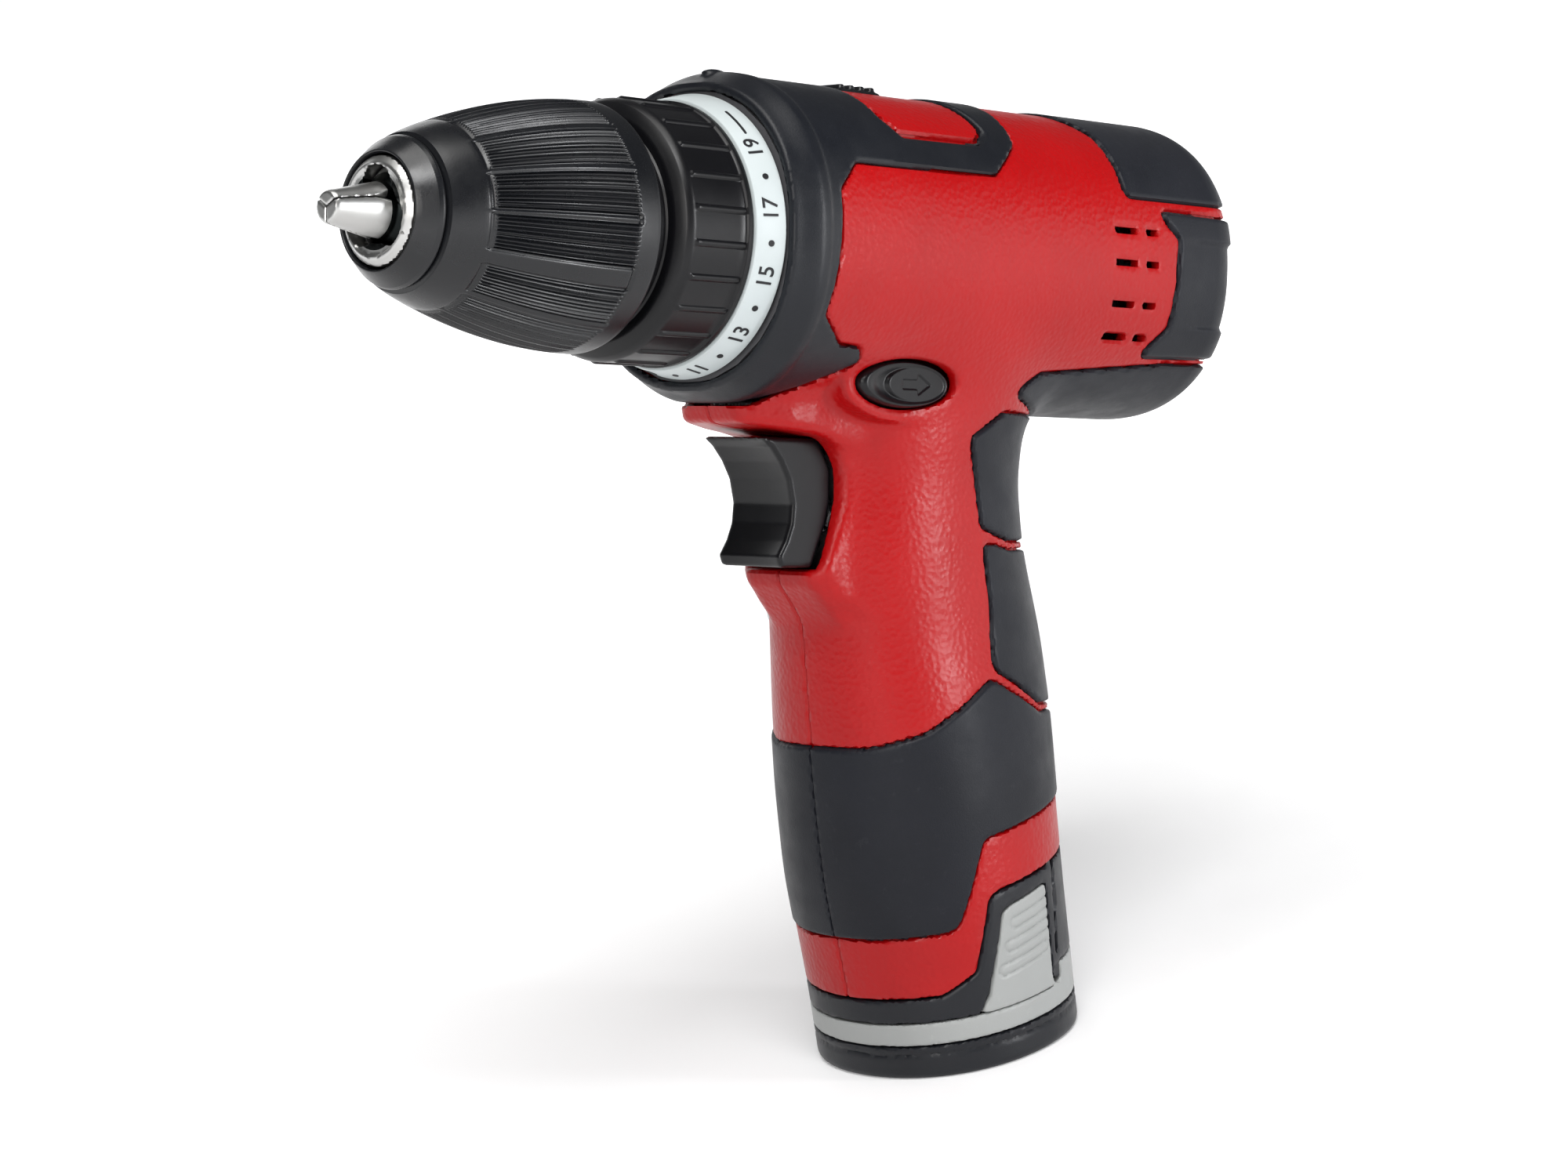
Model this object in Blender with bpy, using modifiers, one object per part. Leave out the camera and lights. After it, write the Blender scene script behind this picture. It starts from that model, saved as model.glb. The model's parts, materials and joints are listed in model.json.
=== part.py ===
# Cordless drill with a keyless chuck, a two-stage planetary gearbox and a stick battery in the handle.
# The drill is modelled along its spindle: +X runs back from the chuck, +Z up, lengths in millimetres.
# An empty then stands it on its battery foot: the origin is the middle of the foot, and +Z is up.
import math

import bmesh
import bpy
from mathutils import Matrix, Vector

MM = 0.001
GAP = 0.3                   # between pieces that touch
RUNNING = 0.35              # round a part that turns or slides

# how the drill stands
LEAN = 13.5                 # degrees between the foot and the spindle
FOOT_X = 98.5
FOOT_Z = -146.8

# barrel and shells
BARREL_R = 28.3
BARREL_FRONT = 27.0
BARREL_REAR = 147.0
REAR_ROUND = 4.5
MOUTH_DROP = 1.6            # how much narrower the barrel is at its front edge
WALL = 2.3
BATTERY_WALL = 1.8          # thinner wall where the handle holds the pack
SPLIT = 0.15                # half of the joint line between the shells
STEPS = 24

# how shapes are cleaned after a cut
MERGE = 2e-6                # metres
SPECK = 2e-10               # cubic metres
FLAT = math.radians(0.2)

# rubber pads and the front cover
PAD_PROUD = 0.4
PAD_DEPTH = 0.8             # into the shell
PAD_FLOOR = PAD_DEPTH + GAP

# handle sections: height, middle, half length, half width, squareness
HANDLE = [
    (2, 79, 22, 14, 2.2),
    (-14, 79, 25, 19, 2.2),
    (-30, 79, 26.5, 20.5, 2.3),
    (-41, 79.5, 24.5, 19.5, 2.3),
    (-54, 80.5, 25.5, 19.8, 2.3),
    (-70, 84, 27.3, 20.6, 2.3),
    (-85, 86.2, 27.5, 22.8, 2.2),
    (-100, 88.2, 27.3, 24.2, 2.1),
    (-116, 91, 27, 24.4, 2.1),
    (-136, 96, 25.7, 24.2, 2.1),
    (-166, 103, 24.4, 24.2, 2.1),
]
HANDLE_ROUND = 24

# chuck
SLEEVE_R = 21.5
SLEEVE_NOSE_R = 13.0
SLEEVE_FRONT = -38.6
SLEEVE_REAR = 0.0
SLEEVE_WALL = 2.0
NOSE_R = 12.6
NOSE_TIP_R = 9.3
NOSE_FRONT = -43.2
CHUCK_FRONT = -43.8
CHUCK_FACE_R = 9.0
CHUCK_REAR_R = 15.0
JAW_R = 3.5
JAW_TILT = 15.0             # degrees to the spindle
JAW_TIP = -53.5
JAW_APEX = -57.0            # where the jaws' middle lines would meet
JAW_LENGTH = 29.0
JAW_GAP = 0.2               # half of the gap between two closed jaws
BORE_R = 5.3

# clutch
RING_FRONT = 4.0
RING_R = 22.6
LIP_FRONT = 1.2             # the narrow rim that meets the chuck
LIP_R = 18.2
RING_RIB = 0.9
RING_RIBS = 12
SCALE_FRONT = 19.8
SCALE_REAR = 25.6
SCALE_FRONT_R = 23.6
SCALE_REAR_R = 25.0
NOSE_TUBE_R = 12.6
SPRING_R = 15.0
SPRING_WIRE = 1.0
SPRING_TURNS = 4

# gearbox: two equal stages with a shared fixed ring gear
MODULE = 0.8
SUN_TEETH = 12
PLANET_TEETH = 12
RING_TEETH = 36
ADDENDUM = 0.62
DEDENDUM = 0.85
BACKLASH = 0.16
PRESSURE = 24.0
CASE_R = 19.6
CASE_WALL = 2.0
FLANGE_FRONT = 26.4
STAGE_TWO = 33.2            # front of the output stage's gears
STAGE_ONE = 44.6
FACE = 5.6                  # width of the gears
DISC = 3.2
PIN_R = 1.5
SPINDLE_R = 5.0
BEARING_R = 10.0
BEARING_FRONT = 8.0
BEARING_LENGTH = 8.0

# motor
CAN_R = 18.4
CAN_FRONT = 58.0
CAN_LENGTH = 54.0
CAN_WALL = 1.4
SHAFT_R = 1.6
SHAFT_END = 130.0
CORE_R = 15.2
CORE_LENGTH = 32.0
CORE_FRONT = 68.0
FAN_R = 19.0
FAN_FRONT = 121.0
FAN_BLADES = 8
RIBS = (60.5, 104.0)        # where the shells hold the motor
RIB_WIDTH = 2.4

# speed switch
SWITCH_FRONT = 56.5
SWITCH_LENGTH = 11.5
SWITCH_HALF = 6.2
SWITCH_TRAVEL = 8.0
SWITCH_TOP = 29.4
SLIDE_HALF = 6.8            # the slide under the knob, which carries the shift ring
SLIDE_TOP = 24.0
SLIDE_END = 78.0
SHIFT_RING_FRONT = 41.0
SHIFT_RING_WIDTH = 3.0
SHIFT_RING_WALL = 1.2

# trigger and direction button
TRIGGER_HALF = 7.9
TRIGGER_TRAVEL = 6.5
TRIGGER_TOP = -34.6
TRIGGER_BOTTOM = -57.7
SWITCH_BOX = (63.0, 84.0, 8.5, -59.6, -36.5)
BUTTON_X = 62.1
BUTTON_Z = -24.6
BUTTON_LENGTH = 11.4        # half sizes of the oval
BUTTON_HEIGHT = 4.2
BUTTON_REACH = 19.8

# screws that close the shells
BOSS_SINK = 1.1             # how far the bosses end below the outside
SCREW_R = 1.5
SCREW_HEAD_R = 2.8
SCREW_HEAD = 1.7
SCREW_SEAT = 2.4            # depth of the head's seat below the boss
BOSS_R = 3.6
SCREWS = [                  # by their place in the side view; the first passes over the motor
    (100.0, CAN_R + GAP + BOSS_R), (78.5, -26.5), (64.5, -66.5), (45.5, -28.6),
]

# battery pack, measured up from its foot
CELL_R = 9.0
CELL_LENGTH = 65.0
CELL_GAP = 0.2
CELL_SPREAD = 18.9          # between the middles of two cells
CELL_BASE = 2.6
STICK_HALF_X = 20.6
STICK_HALF_Y = 19.2
STICK_X = -1.0
STICK_ROUND = 28
CAP_HEIGHT = 6.2
BELT_TOP = 10.6
BELT_DEPTH = 1.6
LATCH_DEPTH = 1.7
LATCH_HINGE = (-1.0, 22.5, 11.8)   # on the left and right, in the standing frame
PACK_GAP = 0.4

# side outlines, (x, z)
COVER = [
    (25.0, 32), (25.0, -28.9), (33.8, -28.9), (49.0, -21.1), (47.1, -18.9), (41.3, -18.4), (34.8, -13.6),
    (35.8, -2.0), (36.2, 8.2), (41.5, 13.3), (78.0, 13.6), (87.0, 19.9), (92.0, 32),
]
SWITCH_ISLAND = [(53.8, 34), (53.8, 22.5), (56.6, 19.1), (77.1, 19.3), (80.3, 21.5), (80.3, 34)]
REAR_UPPER = [(108.8, 32), (114.6, 23.7), (114.2, 12.3), (150, 12.3), (150, 32)]
REAR_MIDDLE = [(122.9, 9.9), (128.3, 5.1), (127.3, -12.0), (121.7, -17.4), (150, -16.8), (150, 9.4)]
REAR_LOWER = [
    (91.0, -25.4), (97.3, -21.6), (130.4, -18.8), (150, -18.2), (150, -32), (116, -32), (104, -28.6),
]
GRIP_UPPER = [
    (88.3, -29.0), (79.2, -33.9), (80.8, -39.6), (83.0, -49.9), (91.5, -52.3), (125, -52.3), (125, -30),
]
GRIP_LOWER = [
    (83.7, -52.9), (85.2, -63.9), (85.5, -75.8), (99.5, -82.4), (125, -82.4), (125, -54.3), (91.5, -54.3),
]
SLEEVE = [
    (50, -90.8), (62.1, -90.8), (70, -87.6), (77.7, -82.4), (84.2, -77.9), (99.0, -84.3), (130, -84.3),
    (130, -94.3), (101.1, -101.1), (90.0, -104.1), (81.1, -106.6), (77.9, -123.4), (68.8, -125.6),
    (50, -129.0),
]
SKIRT = [
    (40, -145.0), (71, -137.3), (77.6, -135.7), (82.3, -131.3), (83.3, -117.5), (85.4, -116.1),
    (102.1, -111.4), (140, -101.0),
]
LATCH = [(86.6, -120.5), (88.4, -119.2), (98.4, -115.6), (100.6, -128.0), (102.6, -134.3), (85.5, -138.2)]
CHIN = [(31.5, -29.4), (32.2, -32.2), (46, -33.8), (57, -36), (60, -20), (34, -20)]
CHIN_HALF = 13.0
CHEEK = [(51.6, -33.0), (55.9, -40.0), (55.9, -46.0), (51.4, -58.6), (56, -64), (66, -64), (66, -33)]
CHEEK_HALF = 10.9
NUB = [(49.8, -58.6), (50.8, -61.2), (58, -68), (66, -60), (62, -58.6)]
NUB_HALF = 8.8
TRIGGER = [
    (37.6, -34.6), (41.6, -38.2), (44.9, -42.6), (45.8, -46.4), (45.0, -51.0), (42.4, -55.6), (44.0, -57.7),
    (51.0, -57.7), (55.4, -46.0), (55.4, -40.0), (52.2, -34.6),
]
VENT_ROWS = (5.7, -0.3, -8.0, -14.0)
VENTS = ((109.5, 116.0), (118.5, 122.0))
VENT_HEIGHT = 1.3


# ---------------------------------------------------------------- scene, materials and basic solids

def clear_scene():
    for thing in list(bpy.data.objects):
        bpy.data.objects.remove(thing, do_unlink=True)


def new_collection(name):
    group = bpy.data.collections.new(name)
    bpy.context.scene.collection.children.link(group)
    return group


def material(name, colour, roughness, metallic=0.0):
    finish = bpy.data.materials.new(name)
    finish.use_nodes = True
    shader = finish.node_tree.nodes["Principled BSDF"]
    shader.inputs["Base Color"].default_value = (*colour, 1.0)
    shader.inputs["Roughness"].default_value = roughness
    shader.inputs["Metallic"].default_value = metallic
    finish.diffuse_color = (*colour, 1.0)
    return finish


clear_scene()
DRILL = new_collection("cordless_drill")
CUTTERS = new_collection("cutters")

STAND = bpy.data.objects.new("stand", None)
STAND.rotation_euler = (0, math.radians(LEAN), 0)
turn = STAND.rotation_euler.to_matrix()
STAND.location = -(turn @ Vector((FOOT_X * MM, 0, FOOT_Z * MM)))
DRILL.objects.link(STAND)

RED = material("red_nylon", (0.55, 0.006, 0.012), 0.34)
BLACK = material("black_plastic", (0.012, 0.012, 0.013), 0.30)
CHARCOAL = material("charcoal_rubber", (0.035, 0.037, 0.042), 0.62)
GREY = material("grey_plastic", (0.42, 0.43, 0.43), 0.45)
STEEL = material("satin_steel", (0.55, 0.54, 0.52), 0.30, 1.0)
DARK_STEEL = material("dark_steel", (0.16, 0.16, 0.17), 0.40, 1.0)
ZINC = material("zinc_plate", (0.62, 0.63, 0.65), 0.35, 1.0)
COPPER = material("copper_winding", (0.60, 0.25, 0.10), 0.35, 1.0)
INNER = material("inner_plastic", (0.10, 0.10, 0.11), 0.50)
CELL_WRAP = material("cell_wrap", (0.05, 0.22, 0.32), 0.40)


def place(obj, at=(0, 0, 0), turned=(0, 0, 0), parent=STAND):
    obj.location = Vector(at) * MM
    obj.rotation_euler = turned
    obj.parent = parent
    bpy.context.view_layer.update()
    return obj


def move_origin(obj, at):
    # the origin goes to a point of the standing frame, and the shape stays where it is
    shift = Matrix.Translation(obj.matrix_world.inverted() @ (Vector(at) * MM))
    obj.data.transform(shift.inverted())
    obj.matrix_world = obj.matrix_world @ shift
    bpy.context.view_layer.update()
    return obj


def put_in(obj, group):
    for owner in list(obj.users_collection):
        owner.objects.unlink(obj)
    group.objects.link(obj)
    return obj


def piece(obj, name, finish):
    # names the object as a part of the drill and gives it its material
    put_in(obj, DRILL)
    obj.hide_render = False
    obj.display_type = "TEXTURED"
    obj.name = name
    obj.data.name = name
    obj.data.materials.clear()
    obj.data.materials.append(finish)
    obj.data.shade_smooth()
    obj.data.set_sharp_from_angle(angle=math.radians(28))
    return obj


def cutter(obj):
    put_in(obj, CUTTERS)
    obj.hide_render = True
    obj.display_type = "WIRE"
    return obj


def mesh_object(mesh, name="solid"):
    obj = bpy.data.objects.new(name, mesh)
    CUTTERS.objects.link(obj)
    return cutter(obj)


def islands(shape):
    # the faces of each connected surface
    left = set(shape.faces)
    while left:
        group = [left.pop()]
        for face in group:
            for edge in face.edges:
                for other in edge.link_faces:
                    if other in left:
                        left.remove(other)
                        group.append(other)
        yield group


def drop_specks(shape):
    # slivers that a cut leaves along a tangent edge enclose no volume
    shape.faces.ensure_lookup_table()
    for group in list(islands(shape)):
        corners = [(loop.vert.co, loop.link_loop_next.vert.co, face.verts[0].co)
                   for face in group for loop in face.loops]
        volume = abs(sum(a.dot(b.cross(c)) for a, b, c in corners)) / 6
        if volume < SPECK:
            bmesh.ops.delete(shape, geom=group, context="FACES")


def baked(obj):
    # the evaluated shape as a plain mesh at the same place; the first object is removed
    bpy.context.view_layer.update()
    mesh = bpy.data.meshes.new_from_object(obj.evaluated_get(bpy.context.evaluated_depsgraph_get()))
    shape = bmesh.new()
    shape.from_mesh(mesh)
    bmesh.ops.remove_doubles(shape, verts=shape.verts, dist=MERGE)
    bmesh.ops.dissolve_degenerate(shape, edges=shape.edges, dist=MERGE)
    drop_specks(shape)
    bmesh.ops.dissolve_limit(shape, angle_limit=FLAT, verts=shape.verts, edges=shape.edges)
    bmesh.ops.triangulate(shape, faces=[face for face in shape.faces if len(face.verts) > 4])
    bmesh.ops.recalc_face_normals(shape, faces=shape.faces)
    shape.to_mesh(mesh)
    shape.free()
    solid = mesh_object(mesh)
    solid.parent = obj.parent
    solid.location = obj.location
    solid.rotation_euler = obj.rotation_euler
    bpy.data.objects.remove(obj, do_unlink=True)
    bpy.context.view_layer.update()
    return solid


def combine(obj, tool, how):
    step = obj.modifiers.new(how.lower(), "BOOLEAN")
    step.operation = how
    step.solver = "EXACT"
    step.object = tool
    return obj


def cut(obj, *tools):
    for tool in tools:
        combine(obj, tool, "DIFFERENCE")
    return obj


def join(obj, *tools):
    for tool in tools:
        combine(obj, tool, "UNION")
    return obj


def keep(obj, *tools):
    for tool in tools:
        combine(obj, tool, "INTERSECT")
    return obj


def copy_of(obj):
    twin = obj.copy()
    twin.data = obj.data.copy()
    twin.modifiers.clear()
    CUTTERS.objects.link(twin)
    return cutter(twin)


def box(low, high, parent=STAND):
    shape = bmesh.new()
    bmesh.ops.create_cube(shape, size=1.0)
    size = [(b - a) * MM for a, b in zip(low, high)]
    bmesh.ops.scale(shape, vec=size, verts=shape.verts)
    mesh = bpy.data.meshes.new("box")
    shape.to_mesh(mesh)
    shape.free()
    middle = [(a + b) / 2 for a, b in zip(low, high)]
    return place(mesh_object(mesh), middle, parent=parent)


def turned(profile, steps=STEPS, at=(0, 0, 0), parent=STAND, upright=False):
    # a closed profile of (along, radius) spun about the spindle's direction, or about +Z when upright
    area = sum(a[0] * b[1] - b[0] * a[1] for a, b in zip(profile, profile[1:] + profile[:1]))
    points = profile if area > 0 else profile[::-1]
    mesh = bpy.data.meshes.new("profile")
    count = len(points)
    edges = [(i, (i + 1) % count) for i in range(count)
             if points[i][1] > 0 or points[(i + 1) % count][1] > 0]
    mesh.from_pydata([(r * MM, 0, a * MM) for a, r in points], edges, [])
    obj = mesh_object(mesh)
    spin = obj.modifiers.new("spin", "SCREW")
    spin.axis = "Z"
    spin.steps = steps
    spin.render_steps = steps
    spin.use_merge_vertices = True
    spin.merge_threshold = 0.00001
    place(obj, at, (0, 0 if upright else math.pi / 2, 0), parent)
    return baked(obj)


def rod(x0, x1, radius, at=(0, 0), steps=16):
    # a round bar along the spindle's direction through (y, z)
    return turned([(x0, 0), (x0, radius), (x1, radius), (x1, 0)], steps, (0, at[0], at[1]))


def tube(x0, x1, inner, outer, steps=STEPS):
    return turned([(x0, inner), (x0, outer), (x1, outer), (x1, inner)], steps)


def outline_solid(outlines, thickness, at=(0, 0, 0), turn_to=(0, 0, 0), parent=STAND):
    # flat outlines, the later ones holes, filled and given a thickness both ways from their plane
    curve = bpy.data.curves.new("outline", "CURVE")
    curve.dimensions = "2D"
    curve.fill_mode = "BOTH"
    curve.extrude = thickness / 2 * MM
    for outline in outlines:
        spline = curve.splines.new("POLY")
        spline.points.add(len(outline) - 1)
        for point, (u, v) in zip(spline.points, outline):
            point.co = (u * MM, v * MM, 0, 1)
        spline.use_cyclic_u = True
    obj = bpy.data.objects.new("outline", curve)
    CUTTERS.objects.link(obj)
    place(obj, at, turn_to, parent)
    solid = baked(obj)
    shape = bmesh.new()
    shape.from_mesh(solid.data)
    bmesh.ops.recalc_face_normals(shape, faces=shape.faces)
    shape.to_mesh(solid.data)
    shape.free()
    return solid


def prism(outline, half_width, y=0.0):
    # a side outline (x, z) with a width across the drill
    return outline_solid([outline], 2 * half_width, (0, y, 0), (math.pi / 2, 0, 0))


def plate(outlines, x0, x1, at=(0, 0)):
    # outlines (y, z) with a thickness along the spindle's direction
    return outline_solid(outlines, x1 - x0, ((x0 + x1) / 2, at[0], at[1]), (math.pi / 2, 0, math.pi / 2))


def rounded(obj, width, segments=1):
    bevel = obj.modifiers.new("bevel", "BEVEL")
    bevel.width = width * MM
    bevel.segments = segments
    bevel.limit_method = "ANGLE"
    bevel.angle_limit = math.radians(40)
    bevel.use_clamp_overlap = True
    return obj


def ellipse(centre, half_u, half_v, count=24):
    angles = [2 * math.pi * i / count for i in range(count)]
    return [(centre[0] + half_u * math.cos(a), centre[1] + half_v * math.sin(a)) for a in angles]


def across_pin(x, z, radius, y0, y1, steps=16):
    # a round bar across the drill
    length = y1 - y0
    bar = turned([(0, 0), (0, radius), (length, radius), (length, 0)], steps, upright=True)
    return place(bar, (x, y1, z), (math.pi / 2, 0, 0))


# ---------------------------------------------------------------- outer form

def barrel(offset, front=BARREL_FRONT):
    radius = BARREL_R + offset
    rear = BARREL_REAR + offset
    mouth = radius - (MOUTH_DROP if front == BARREL_FRONT else 0)
    return turned([
        (front, 0), (front, mouth), (front + 3.5, radius), (rear - 2 * REAR_ROUND, radius),
        (rear - REAR_ROUND * 0.7, radius - REAR_ROUND * 0.28), (rear, radius - REAR_ROUND * 1.2), (rear, 0),
    ])


def squashed(value, power):
    return math.copysign(abs(value) ** (2 / power), value)


def handle(offset):
    # a loft through the handle sections, moved in or out by the offset
    shape = bmesh.new()
    loops = []
    for z, middle, half_x, half_y, power in HANDLE:
        loop = []
        for i in range(HANDLE_ROUND):
            angle = 2 * math.pi * i / HANDLE_ROUND
            x = middle + (half_x + offset) * squashed(math.cos(angle), power)
            y = (half_y + offset) * squashed(math.sin(angle), power)
            loop.append(shape.verts.new((x * MM, y * MM, z * MM)))
        loops.append(loop)
    for upper, lower in zip(loops, loops[1:]):
        for i in range(HANDLE_ROUND):
            j = (i + 1) % HANDLE_ROUND
            shape.faces.new((upper[i], lower[i], lower[j], upper[j]))
    shape.faces.new(loops[0])
    shape.faces.new(loops[-1][::-1])
    bmesh.ops.recalc_face_normals(shape, faces=shape.faces)
    mesh = bpy.data.meshes.new("handle")
    shape.to_mesh(mesh)
    shape.free()
    return place(mesh_object(mesh))


def half_width(x, z):
    # half the width of the shells at a place in the side view
    if x < CHEEK[0][0] and z > CHIN[3][1]:
        return CHIN_HALF
    barrel_half = math.sqrt(max(0.0, BARREL_R ** 2 - z ** 2))
    for low, high in zip(HANDLE, HANDLE[1:]):
        if high[0] <= z <= low[0]:
            share = (z - low[0]) / (high[0] - low[0])
            _, middle, half_x, half_y, power = [a + (b - a) * share for a, b in zip(low, high)]
            inside = 1 - abs((x - middle) / half_x) ** power
            return max(barrel_half, half_y * max(0.0, inside) ** (1 / power))
    return barrel_half


def form(offset, front=BARREL_FRONT, extras=False):
    body = join(barrel(offset, front), handle(offset))
    if extras:
        boss = outline_solid([ellipse((BUTTON_X, BUTTON_Z), BUTTON_LENGTH + 3, BUTTON_HEIGHT + 2.6)],
                             2 * (BUTTON_REACH - 1.4), (0, 0, 0), (math.pi / 2, 0, 0))
        join(body, rounded_prism(CHIN, CHIN_HALF), rounded_prism(CHEEK, CHEEK_HALF))
        join(body, rounded_prism(NUB, NUB_HALF), boss)
    return baked(body)


def rounded_prism(outline, half_width, width=2.0):
    return baked(rounded(prism(outline, half_width), width))


def foot_space(low, high):
    # a box in the standing frame, millimetres up from the foot
    return box(low, high, parent=None)


# ---------------------------------------------------------------- shells, cover and pads

OUTER = form(0, extras=True)
PROUD = form(PAD_PROUD, BARREL_FRONT - 1.0)
PAD_BACK = form(-PAD_DEPTH, BARREL_FRONT - 3.0)
FLOOR = form(-PAD_FLOOR, BARREL_FRONT - 3.0)
SIDE = 40.0                 # wider than the drill


def grown(outline, margin):
    # the outline moved out by a margin along its corners' bisectors
    count = len(outline)
    area = sum(a[0] * b[1] - b[0] * a[1] for a, b in zip(outline, outline[1:] + outline[:1]))
    sign = 1 if area > 0 else -1
    result = []
    for i in range(count):
        before = Vector(outline[i]) - Vector(outline[i - 1])
        after = Vector(outline[(i + 1) % count]) - Vector(outline[i])
        normals = [Vector((e.y, -e.x)).normalized() * sign for e in (before, after)]
        bisector = normals[0] + normals[1]
        push = bisector * (margin / max(0.35, bisector.dot(normals[0])))
        result.append((outline[i][0] + push.x, outline[i][1] + push.y))
    return result


def side_parts(name, outline, finish, neighbours=()):
    # the same pad on both halves, clear of its neighbours' outlines
    for label, sign in (("left", -1), ("right", 1)):
        pad = keep(prism(outline, SIDE), copy_of(PROUD))
        cut(pad, *[prism(grown(other, GAP), SIDE) for other in neighbours])
        far = box((-90, -90, -200), (200, SPLIT, 90)) if sign > 0 else box((-90, -SPLIT, -200), (200, 90, 90))
        cut(pad, copy_of(PAD_BACK), far)
        piece(baked(pad), f"{name}_{label}", finish)


PADS = {
    "rear_pad_upper": REAR_UPPER, "rear_pad_middle": REAR_MIDDLE, "rear_pad_lower": REAR_LOWER,
    "grip_pad_upper": GRIP_UPPER, "grip_pad_lower": GRIP_LOWER, "handle_sleeve": SLEEVE,
}


def shells():
    body = copy_of(OUTER)
    recess = [cut(prism(grown(outline, GAP), SIDE), copy_of(FLOOR)) for outline in [*PADS.values(), COVER]]
    island = prism(SWITCH_ISLAND, SIDE)
    cut(recess[-1], island)
    for groove in recess:
        cut(body, baked(groove))
    body = baked(body)
    cut(body, baked(join(barrel(-WALL, BARREL_FRONT - 8), handle(-BATTERY_WALL))))
    body = baked(body)
    ring_low = CAN_R + GAP
    for start in RIBS:
        join(body, tube(start, start + RIB_WIDTH, ring_low, BARREL_R - WALL + 0.4))
    shelf_top = SWITCH_BOX[3] - GAP
    shelf = keep(box((60.5, -30, shelf_top - 2), (120, 30, shelf_top)), handle(-BATTERY_WALL + 0.2))
    join(body, baked(shelf))
    body = baked(body)
    for x, z in SCREWS:
        reach = half_width(x, z) - BOSS_SINK
        join(body, across_pin(x, z, BOSS_R, -reach, reach))
    body = baked(body)
    # room for what passes through the shells
    gate = SWITCH_HALF + RUNNING
    gate_end = SWITCH_FRONT + SWITCH_LENGTH + SWITCH_TRAVEL + RUNNING
    cut(body, box((SWITCH_FRONT - RUNNING, -gate, 20), (gate_end, gate, 40)))
    side = SLIDE_HALF + 2 * GAP
    slide_end = SLIDE_END + SWITCH_TRAVEL + 1
    cut(body, box((SHIFT_RING_FRONT - RUNNING, -side, 21.2), (slide_end, side, SLIDE_TOP + 0.4)))
    slot = TRIGGER_HALF + RUNNING
    cut(body, box((20, -slot, TRIGGER_BOTTOM - RUNNING), (62.6, slot, TRIGGER_TOP + RUNNING)))
    oval = outline_solid([ellipse((BUTTON_X, BUTTON_Z), BUTTON_LENGTH + RUNNING, BUTTON_HEIGHT + RUNNING)],
                         2 * SIDE, (0, 0, 0), (math.pi / 2, 0, 0))
    cut(body, oval)
    cut(body, prism(SKIRT + [(140, -190), (40, -190)], SIDE))
    body = baked(body)
    for z in VENT_ROWS:
        for x0, x1 in VENTS:
            cut(body, box((x0, -SIDE, z - VENT_HEIGHT / 2), (x1, SIDE, z + VENT_HEIGHT / 2)))
    for x, z in SCREWS:
        seat = half_width(x, z) - BOSS_SINK - SCREW_SEAT
        cut(body, across_pin(x, z, SCREW_R + GAP, -seat, SIDE))
        cut(body, across_pin(x, z, SCREW_HEAD_R + GAP, seat, SIDE))
    body = baked(body)
    for label, low, high in (("left", -90, -SPLIT), ("right", SPLIT, 90)):
        half = keep(copy_of(body), box((-90, low, -220), (220, high, 90)))
        piece(baked(half), f"housing_{label}", RED)


def cover():
    shell = keep(prism(COVER, SIDE), copy_of(PROUD))
    cut(shell, copy_of(PAD_BACK), prism(grown(SWITCH_ISLAND, GAP), SIDE))
    piece(baked(shell), "front_cover", BLACK)


def screws():
    for number, (x, z) in enumerate(SCREWS, 1):
        seat = half_width(x, z) - BOSS_SINK - SCREW_SEAT
        length = 2 * seat + SCREW_HEAD - GAP
        bolt = turned([(0, 0), (0, SCREW_HEAD_R), (SCREW_HEAD, SCREW_HEAD_R), (SCREW_HEAD, SCREW_R),
                       (length, SCREW_R), (length, 0)], 12, upright=True)
        place(bolt, (x, seat + GAP + SCREW_HEAD, z), (math.pi / 2, 0, 0))
        piece(bolt, f"housing_screw_{number}", ZINC)


# ---------------------------------------------------------------- chuck

def jaw_line(x):
    # how far a jaw's middle line lies from the spindle axis
    return (x - JAW_APEX) * math.tan(math.radians(JAW_TILT))


def jaw_bar(radius, start, length, angle):
    # a round bar along a jaw's middle line; the jaws stand at equal angles about the spindle
    tilt = math.radians(JAW_TILT)
    bar = turned([(0, 0), (0, radius), (length, radius), (length, 0)], 20, upright=True)
    across = jaw_line(start)
    at = (start, across * math.cos(angle), across * math.sin(angle))
    direction = Vector((math.cos(tilt), math.sin(tilt) * math.cos(angle), math.sin(tilt) * math.sin(angle)))
    place(bar, at)
    bar.rotation_euler = direction.to_track_quat("Z", "Y").to_euler()
    bpy.context.view_layer.update()
    return bar


JAW_ANGLES = [math.pi / 2 + 2 * math.pi * i / 3 for i in range(3)]


def sleeve_profile(offset, front, rear, count=6):
    # the sleeve's ogive, a quarter ellipse from the nose to the rear rim
    points = []
    for i in range(count):
        x = front + (rear - front) * i / (count - 1)
        share = min(1.0, max(0.0, (x - SLEEVE_FRONT) / (SLEEVE_REAR - SLEEVE_FRONT)))
        swell = math.sin(math.pi / 2 * share) ** 0.85 if share > 0 else 0
        points.append((x, SLEEVE_NOSE_R + (SLEEVE_R - SLEEVE_NOSE_R) * swell + offset))
    return points


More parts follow.
